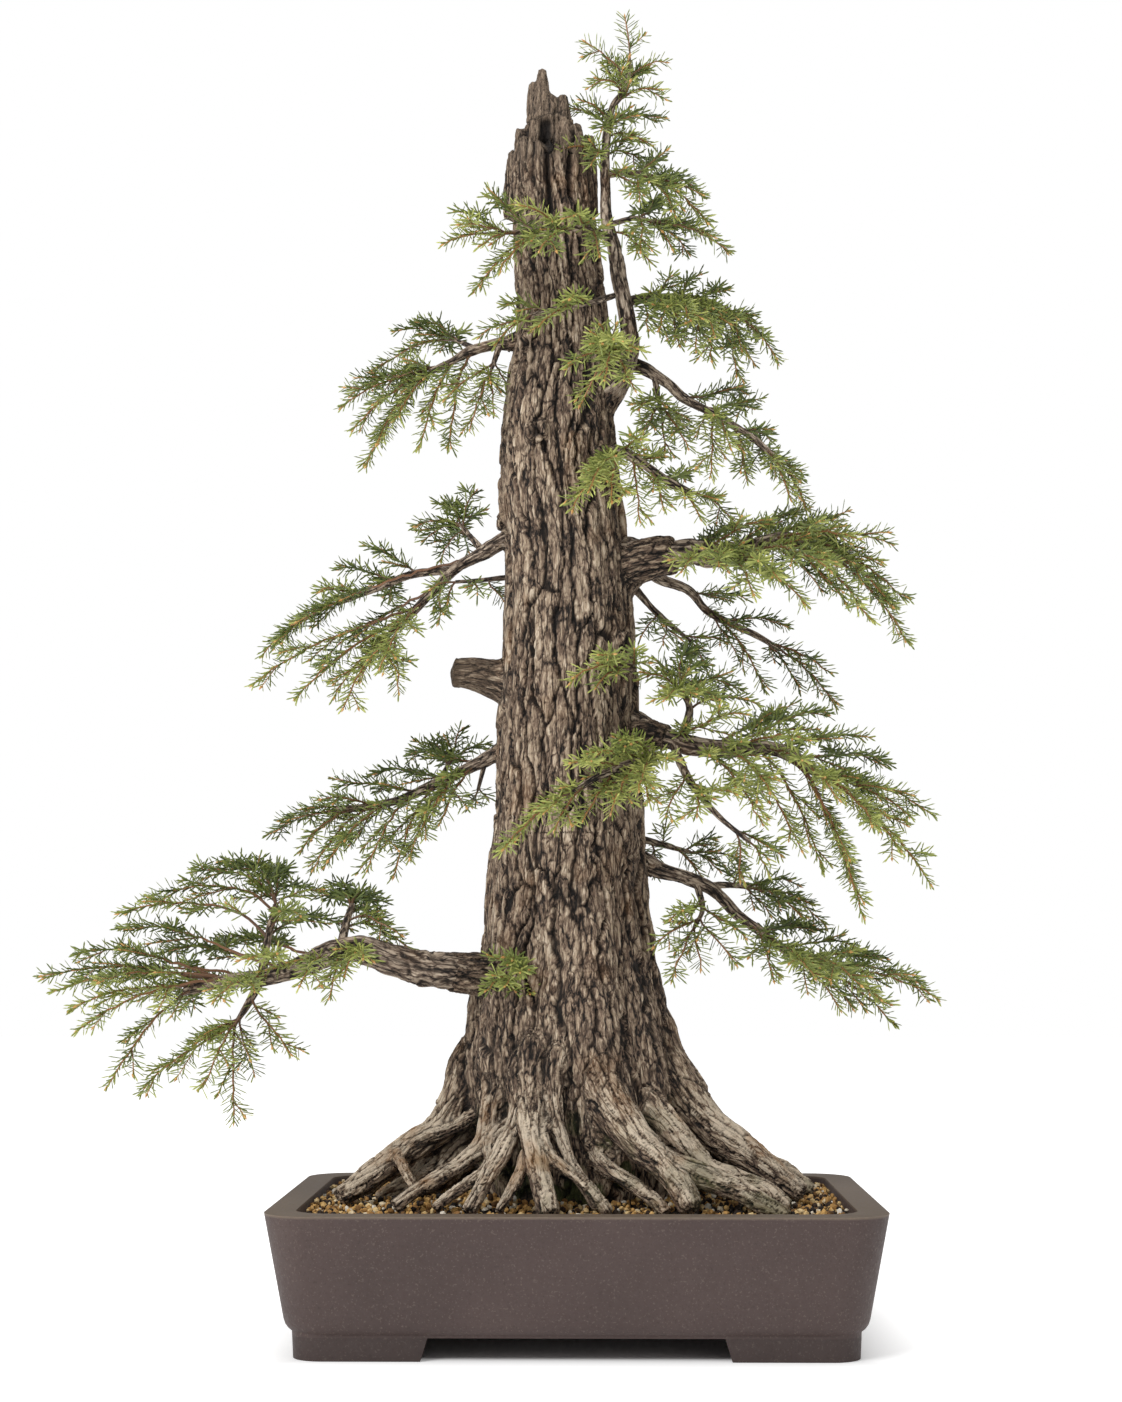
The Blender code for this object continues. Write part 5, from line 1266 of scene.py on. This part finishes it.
            (128, -60, 300, 0.6), (71, -60, 314, 0.5)]},
        {"spray": "right_low", "radii": (3.4, 1.6), "path": [(46, 20, 380), (70, 32, 374), (90, 40, 369)],
         "tips": [(130, 45, 363, 1), (111, 60, 381, 0.9), (97, 20, 350, 0.7), (115, 60, 354, 1),
            (70, 40, 391, 0.5), (61, 10, 350, 0.3)]},
    ],
    "back_high": [
        {"spray": "back_high", "radii": (6.2, 3), "path": [(-9, 20, 689), (-10, 60, 702), (-5, 95, 707)],
         "tips": [(1, 165, 679, 1), (-16, 140, 666, 0.9), (14, 150, 694, 0.9), (-26, 130, 690, 0.8),
            (-8, 175, 708, 1)]},
    ],
    "back_middle": [
        {"spray": "back_middle", "radii": (8, 3.4), "path": [(-6, 30, 546), (-5, 75, 560), (-4, 110, 560)],
         "tips": [(9, 190, 507, 1), (-17, 180, 502, 1), (27, 170, 523, 0.9), (-38, 165, 522, 0.9),
            (-4, 200, 544, 1), (18, 150, 546, 0.7), (-29, 150, 542, 0.7)]},
    ],
    "back_low": [
        {"spray": "back_low", "radii": (9, 3.4), "path": [(-9, 36, 411), (-12, 80, 422), (-5, 116, 417)],
         "tips": [(18, 190, 360, 1), (-21, 185, 355, 1), (35, 165, 376, 0.9), (-42, 165, 376, 0.9),
            (-4, 200, 395, 1), (26, 150, 405, 0.7), (-37, 150, 401, 0.7)]},
    ],
    "leader": [
        {"spray": "leader", "radii": (8, 1.8), "path": [(29, -14, 739), (41, -22, 765), (40, -22, 791),
            (34, -20, 822), (30, -18, 848), (24, -16, 873), (23, -14, 898), (23, -12, 932), (28, -10, 966),
            (40, -8, 985), (43, -8, 1008)],
         "tips": [(39, -8, 1044, 1), (7, -20, 1018, 0.93), (25, 20, 1019, 0.9), (72, -10, 1006, 0.95),
            (67, -30, 976, 0.88), (3, -15, 973, 0.82), (-12, 10, 974, 0.8), (48, -30, 954, 0.78),
            (53, 0, 943, 0.74), (-12, -30, 926, 0.72), (52, 25, 1008, 0.93), (15, -35, 982, 0.9),
            (64, 30, 971, 0.8), (50, -30, 893, 0.66), (58, 20, 930, 0.72), (11, -40, 910, 0.72),
            (58, -40, 831, 0.5), (60, -20, 933, 0.77), (19, -30, 942, 0.8)]},
        {"spray": "leader_crown", "radii": (3, 1.6), "path": [(23, -13, 911), (43, -16, 912),
            (59, -14, 908)],
         "tips": [(103, 0, 896, 1), (105, -20, 868, 1), (93, 40, 919, 0.9), (78, -50, 866, 0.8),
            (68, 30, 937, 0.7), (50, -50, 878, 0.5)]},
        {"spray": "leader_crown", "radii": (2.6, 1.4), "path": [(26, -16, 869), (47, -20, 873),
            (62, -20, 870)],
         "tips": [(122, -10, 849, 1), (101, 35, 876, 0.9), (76, -30, 845, 0.8), (91, 10, 851, 0.9),
            (50, -55, 836, 0.6), (64, 45, 904, 0.7)]},
        {"spray": "leader_across", "radii": (3.2, 1.4), "path": [(28, -18, 856), (11, -44, 856),
            (-13, -62, 852), (-44, -66, 848), (-68, -60, 849)],
         "tips": [(-104, -60, 840, 1), (-97, -40, 873, 0.9), (-72, -30, 888, 0.7), (-75, -85, 831, 0.8),
            (-80, -60, 803, 0.6), (-59, -85, 812, 0.6), (-28, -95, 825, 0.4), (-1, -90, 854, 0.3),
            (-43, -90, 862, 0.5), (18, -80, 825, 0.2), (-90, -85, 848, 0.9)]},
        {"spray": "leader_across", "radii": (2.6, 1.2), "path": [(31, -20, 810), (11, -46, 797),
            (-17, -62, 788), (-44, -60, 781)],
         "tips": [(-76, -50, 769, 1), (-63, -70, 757, 0.9), (-28, -85, 769, 0.5), (-5, -85, 790, 0.4),
            (-57, -40, 797, 0.8)]},
        {"spray": "leader_right", "radii": (4, 1.8), "path": [(38, -20, 804), (59, -6, 812), (83, 8, 815),
            (105, 18, 816), (126, 22, 807)],
         "tips": [(142, 25, 805, 1), (160, 0, 763, 1), (131, -20, 765, 0.9), (126, -30, 742, 0.85),
            (106, -40, 752, 0.7), (93, -50, 756, 0.6), (122, 50, 833, 0.7), (93, 40, 839, 0.5),
            (65, -60, 771, 0.35), (150, 45, 794, 0.95), (76, -30, 823, 0.3), (101, 50, 800, 0.6),
            (69, -50, 790, 0.25), (88, -60, 779, 0.4), (108, -55, 768, 0.55), (81, -40, 764, 0.3),
            (56, -50, 774, 0.12), (114, -20, 794, 0.6)]},
        {"spray": "leader_right", "radii": (3.4, 2), "path": [(31, -28, 755), (28, -55, 755),
            (27, -78, 752)],
         "tips": [(-7, -85, 736, 0.8), (4, -90, 705, 0.9), (44, -95, 715, 0.9), (28, -125, 747, 1),
            (11, -110, 747, 1), (45, -110, 743, 0.9), (22, -120, 717, 1), (18, -95, 766, 0.8)]},
    ],
}
wood = {"step": 2.6 * mm, "collar": 0.55, "collarLength": 16 * mm, "thick": 5 * mm, "middling": 2.6 * mm}
needle = {"length": 12.6 * mm, "width": 1.40 * mm, "thick": 0.60 * mm, "perMetre": 930, "shoulder": 0.80,
          "lean": 62, "goldenTurn": 2.39996}
shootShape = {"gap": 25 * mm, "longest": 40 * mm, "angle": 50, "twig": 1.0 * mm, "tipTwig": 0.52 * mm,
              "step": 6 * mm, "bareTip": 85 * mm, "forkFrom": 31 * mm, "forkAt": 0.44}


def woodTube(route, radius, salt):
    # a branch's bare wood with its bark: points, triangles, and for each point its grain, furrow and tone
    thick = radius.max() > wood["thick"]
    sides = 30 if thick else (12 if radius.max() > wood["middling"] else 8)
    tangent, side, top = routeFrames(route)
    gone = lengthAlong(route)
    turn = np.linspace(0, 2 * math.pi, sides, endpoint=False)
    knobs = 1 + 0.10 * softNoise(np.stack([gone / 0.016, gone * 0 + salt, gone * 0], 1), salt)
    around = np.stack([np.cos(turn)[None] * radius[:, None], np.sin(turn)[None] * radius[:, None],
                       np.broadcast_to(gone[:, None], (len(gone), sides))], -1).reshape(-1, 3)
    relief, edge, tone = barkRelief(around, 60 + salt, 12 if thick else 7, (34 if thick else 16) * mm)
    bumps = layeredNoise(around / 0.009, 2, 77)
    lift = ((relief - 0.6) * 0.19 + bumps * 0.07).reshape(len(gone), sides)
    reach = (radius * knobs)[:, None] * (1 + lift * (1.0 if thick else 0.7))
    ring = side[:, None] * np.cos(turn)[None, :, None] + top[:, None] * np.sin(turn)[None, :, None]
    points = (route[:, None] + ring * reach[..., None]).reshape(-1, 3)
    points = np.vstack([points, route[0] - tangent[0] * radius[0] * 0.3,
                        route[-1] + tangent[-1] * radius[-1] * 0.5])
    atEnds = [0.5, 0.5]
    values = np.column_stack([np.vstack([around, around[0], around[-1]]), np.append(edge, atEnds),
                              np.append(tone, atEnds)])
    return points, ringFaces(len(route), sides), values


def armRoute(arm, first):
    path = np.array(arm["path"], float) * mm
    thickAt, thinAt = np.array(arm["radii"]) * mm
    if first:  # the wood starts well inside the trunk
        middle, radius = trunkAt(path[:1, 2])
        centre = np.array([middle[0], 0, path[0, 2]])
        inward = centre - path[0]
        inward[2] = -0.25 * abs(inward[0] + inward[1])
        path = np.vstack([path[0] + inward * 0.55, path])
    route = smoothRoute(path, wood["step"]) + home
    gone = lengthAlong(route)
    radius = thickAt + (thinAt - thickAt) * (gone / gone[-1]) ** 1.1
    if first:
        start = np.linalg.norm(path[1] - path[0])
        radius = radius * (1 + wood["collar"] * np.exp(-np.clip(gone - start, 0, 1) / wood["collarLength"]))
    return route, radius


def frondRoute(start, outward, tip, length, draw):
    # leaves the arm outwards, bends towards its tip and hangs a little at its end
    ahead = (tip - start) / length
    droop = unit(ahead + np.array([0, 0, -0.34]))
    bend = [start, start + unit(outward + ahead * 1.2) * length * 0.33, tip - droop * length * 0.33, tip]
    bend[1][2] += length * 0.07
    bend[2][2] += length * 0.03
    share = np.linspace(0, 1, max(6, int(length / shootShape["step"])))[:, None]
    route = ((1 - share) ** 3 * bend[0] + 3 * (1 - share) ** 2 * share * bend[1]
             + 3 * (1 - share) * share ** 2 * bend[2] + share ** 3 * bend[3])
    wobble = draw.normal(0, 0.5 * mm, route.shape)
    wobble[0] = 0
    return route + wobble


def frondShoots(start, outward, tip, draw, tintAndLight):
    # the frond's own twig with its side shoots, each with its route, its radius at the start and at the end,
    # the share of it that is bare, its tint with painted light in it, and how long its needles are
    length = np.linalg.norm(tip - start)
    route = frondRoute(start, outward, tip, length, draw)
    twig, tipTwig = shootShape["twig"], shootShape["tipTwig"]
    bare = max(0.10, min(0.55, 1 - shootShape["bareTip"] / length)) if length > 50 * mm else 0.08
    shoots = [(route, twig * (0.75 + min(length, 0.12) / 0.12 * 0.6), tipTwig, bare, tintAndLight, 1.0)]
    tangent, side, top = routeFrames(route)
    roll = draw.uniform(-0.55, 0.55)
    flat = side * math.cos(roll) + top * math.sin(roll)
    gone = lengthAlong(route)
    at = max(0.010, bare * gone[-1] * 0.75)
    hand = 1 if draw.random() < 0.5 else -1
    while at < gone[-1] - 0.006:
        place = at / gone[-1]
        index = min(len(route) - 1, int(place * (len(route) - 1)))
        base = alongAt(at, gone, route)
        left = gone[-1] - at
        size = min(shootShape["longest"], 0.010 + left * 0.42, 0.5 * length) * draw.uniform(0.72, 1.12)
        size *= 0.65 + 0.35 * min(1, (place - bare * 0.6) / 0.25)
        angle = math.radians(shootShape["angle"] + draw.normal(0, 6))
        way = tangent[index] * math.cos(angle) + flat[index] * hand * math.sin(angle)
        way = unit(way + np.array([0, 0, -0.10]) + draw.normal(0, 0.10, 3))
        bent = unit(way + tangent[index] * 0.35 + np.array([0, 0, -0.16]))
        steps = np.linspace(0, 1, 5)[:, None]
        sideRoute = base + way * size * (steps - steps ** 2 * 0.45) + bent * size * steps ** 2 * 0.45
        shoots.append((sideRoute, twig * 0.62, tipTwig * 0.8, 0.05, tintAndLight + draw.normal(0, 0.05), 0.92))
        if size > shootShape["forkFrom"]:  # a long side shoot has one small fork on its outer side
            forkSize = size * draw.uniform(0.36, 0.5)
            crossing = unit(np.cross(way, top[index]))
            forkWay = unit(way * 0.72 - crossing * hand * 0.7 + draw.normal(0, 0.08, 3))
            forkRoute = (base + way * size * shootShape["forkAt"] * 0.97
                         + forkWay * forkSize * np.linspace(0, 1, 4)[:, None])
            shoots.append((forkRoute, twig * 0.45, tipTwig * 0.7, 0.05, tintAndLight + draw.normal(0, 0.06), 0.85))
        hand = -hand
        at += shootShape["gap"] * draw.uniform(0.7, 1.25)
    return shoots


def needleShape():
    # a flat blade of even width with a blunt point: length 1 along z, 1 wide
    clearSelection()
    bpy.ops.mesh.primitive_cylinder_add(vertices=3, radius=0.58, depth=1.0, location=(0, 0, 0.5),
                                        end_fill_type="NGON")
    blade = bpy.context.object
    bpy.ops.object.transform_apply(location=True, rotation=True, scale=True)
    bpy.ops.object.mode_set(mode="EDIT")
    selectWhere(blade, lambda centre, normal: normal.z > 0.9, "FACE")
    bpy.ops.mesh.poke(offset=0.0)
    bpy.ops.object.mode_set(mode="OBJECT")
    for vertex in blade.data.vertices:
        middle = math.hypot(vertex.co.x, vertex.co.y) < 0.1
        if vertex.co.z > 0.5 and not middle:
            vertex.co.z = needle["shoulder"]
        elif vertex.co.z < 0.5:
            vertex.co.x *= 0.6
            vertex.co.y *= 0.6
    points, faces = readMesh(blade)
    bpy.data.objects.remove(blade)
    return points, faces


bladePoints, bladeFaces = needleShape()


def needlesOn(shoot, draw):
    route, _, _, bare, tintAndLight, scale = shoot
    gone = lengthAlong(route)
    total = gone[-1]
    count = max(6, int(total * (1 - bare) * needle["perMetre"]))
    at = total * (bare + (1 - bare) * (np.arange(count) + draw.uniform(0, 1, count)) / count)
    base = alongAt(at, gone, route)
    ahead, aside, above = (unit(alongAt(at, gone, vectors)) for vectors in routeFrames(route))
    turn = np.arange(count) * needle["goldenTurn"] + draw.uniform(0, 0.6, count)
    radial = unit(aside * np.cos(turn)[:, None] + above * (np.sin(turn) * 0.42 + 0.12)[:, None])
    nearTip = ramp(at / total, 0.80, 1.0)
    lean = np.radians(needle["lean"] + draw.normal(0, 5, count) - nearTip * 26)
    way = unit(ahead * np.cos(lean)[:, None] + radial * np.sin(lean)[:, None]
               + draw.normal(0, 0.035, (count, 3)))
    length = needle["length"] * scale * draw.uniform(0.84, 1.06, count) * (1 - 0.30 * nearTip)
    length *= 0.72 + 0.28 * ramp(at / total, 0.0, 0.18)
    wide = unit(np.cross(way, radial))
    deep = np.cross(way, wide)
    points = (base[:, None] + way[:, None] * (bladePoints[None, :, 2:3] * length[:, None, None])
              + wide[:, None] * (bladePoints[None, :, 0:1] * needle["width"])
              + deep[:, None] * (bladePoints[None, :, 1:2] * needle["thick"]))
    faces = (bladeFaces[None] + (np.arange(count) * len(bladePoints))[:, None, None]).reshape(-1, 3)
    shade = tintAndLight + draw.normal(0, 0.14, count) + nearTip * 0.14
    shape = points.shape[:2]
    values = np.stack([np.zeros(shape), np.broadcast_to(bladePoints[None, :, 2], shape),
                       np.broadcast_to(shade[:, None], shape), np.ones(shape)], -1)
    return points.reshape(-1, 3), faces, np.clip(values.reshape(-1, 4), 0, 1)


def twigOn(shoot):
    route, thick, thin, _, tintAndLight, _ = shoot
    short = len(route) < 6
    sides = 4 if short else 5
    points, faces = tube(route, np.linspace(thick, thin, len(route)), sides)
    along = np.append(np.repeat(np.linspace(0, 1, len(route)), sides), [0, 1])
    values = np.stack([along * 0 + 0.5, along if short else along * 0.7, along * 0 + tintAndLight, along * 0 + 1], -1)
    return points, faces, values


def budOn(shoot, draw):
    route = shoot[0]
    way = unit(route[-1] - route[-2])
    aside = unit(np.cross(way, [0.3, 0.5, 0.81]))
    above = np.cross(way, aside)
    size = draw.uniform(1.1, 1.7)
    ring = [route[-1] + way * 0.7 * mm + out * 0.8 * mm * size for out in (aside, above, -aside, -above)]
    points = np.array([route[-1] - way * 0.6 * mm] + ring + [route[-1] + way * 2.8 * mm * size])
    faces = np.array([(0, 2, 1), (0, 3, 2), (0, 4, 3), (0, 1, 4), (5, 1, 2), (5, 2, 3), (5, 3, 4), (5, 4, 1)])
    return points, faces, np.tile([1.0, 1.0, draw.random(), 1.0], (6, 1))


def makeBranches():
    # gives back the shoots of each spray
    sprays = {}
    count = 0
    for branchNumber, (branchName, arms) in enumerate(branches.items()):
        parts = []
        draw = np.random.default_rng(100 + branchNumber)
        for armNumber, arm in enumerate(arms):
            route, radius = armRoute(arm, armNumber == 0)
            parts.append(woodTube(route, radius, branchNumber * 7 + armNumber))
            tangent = unit(np.gradient(route, axis=0))
            for tipX, tipY, tipZ, share in arm["tips"]:
                tip = np.array([tipX, tipY, tipZ], float) * mm + home
                index = min(len(route) - 1, int(share * (len(route) - 1)))
                if np.linalg.norm(tip - route[index]) < 8 * mm:
                    continue
                # painted light and shade: what stands further forward and higher is painted lighter, what
                # stands behind darker
                front = float(np.clip((-tipY - 20) / 130, -0.4, 1.0))
                tintAndLight = 0.40 + 0.31 * front + 0.06 * (tipZ / 1000) + draw.normal(0, 0.05)
                shoots = frondShoots(route[index], tangent[index], tip, draw, tintAndLight)
                sprays.setdefault(arm["spray"], []).extend(shoots)
        points, faces, values = joinParts(parts)
        piece = meshPiece("wood_" + branchName, points, faces)
        addVectors(piece, "grain", values[:, :3])
        addValues(piece, "furrow", values[:, 3])
        addValues(piece, "tone", values[:, 4])
        for key in ("dead", "moss", "cut"):
            addValues(piece, key, np.zeros(len(points)))
        node = "leader" if branchName == "leader" else "branch_" + branchName
        finishPiece(piece, branchBark, node)
        count += len(faces)
    print("branches made,", count, "faces")
    return sprays


def makeNeedles(sprays):
    count = 0
    for sprayNumber, (sprayName, shoots) in enumerate(sprays.items()):
        draw = np.random.default_rng(300 + sprayNumber)
        parts = []
        for shoot in shoots:
            parts.append(needlesOn(shoot, draw))
            parts.append(twigOn(shoot))
            parts.append(budOn(shoot, draw))
        points, faces, values = joinParts(parts)
        piece = meshPiece("needles_" + sprayName, points, faces, smooth=False)
        leaf = piece.data.attributes.new("leaf", "FLOAT_COLOR", "POINT")
        leaf.data.foreach_set("color", values.astype(np.float32).ravel())
        finishPiece(piece, needleGreen, "foliage_" + sprayName)
        count += len(faces)
        print("  needles_" + sprayName, len(shoots), "shoots,", len(faces), "faces")
    print("needles made,", count, "faces")


makeNeedles(makeBranches())
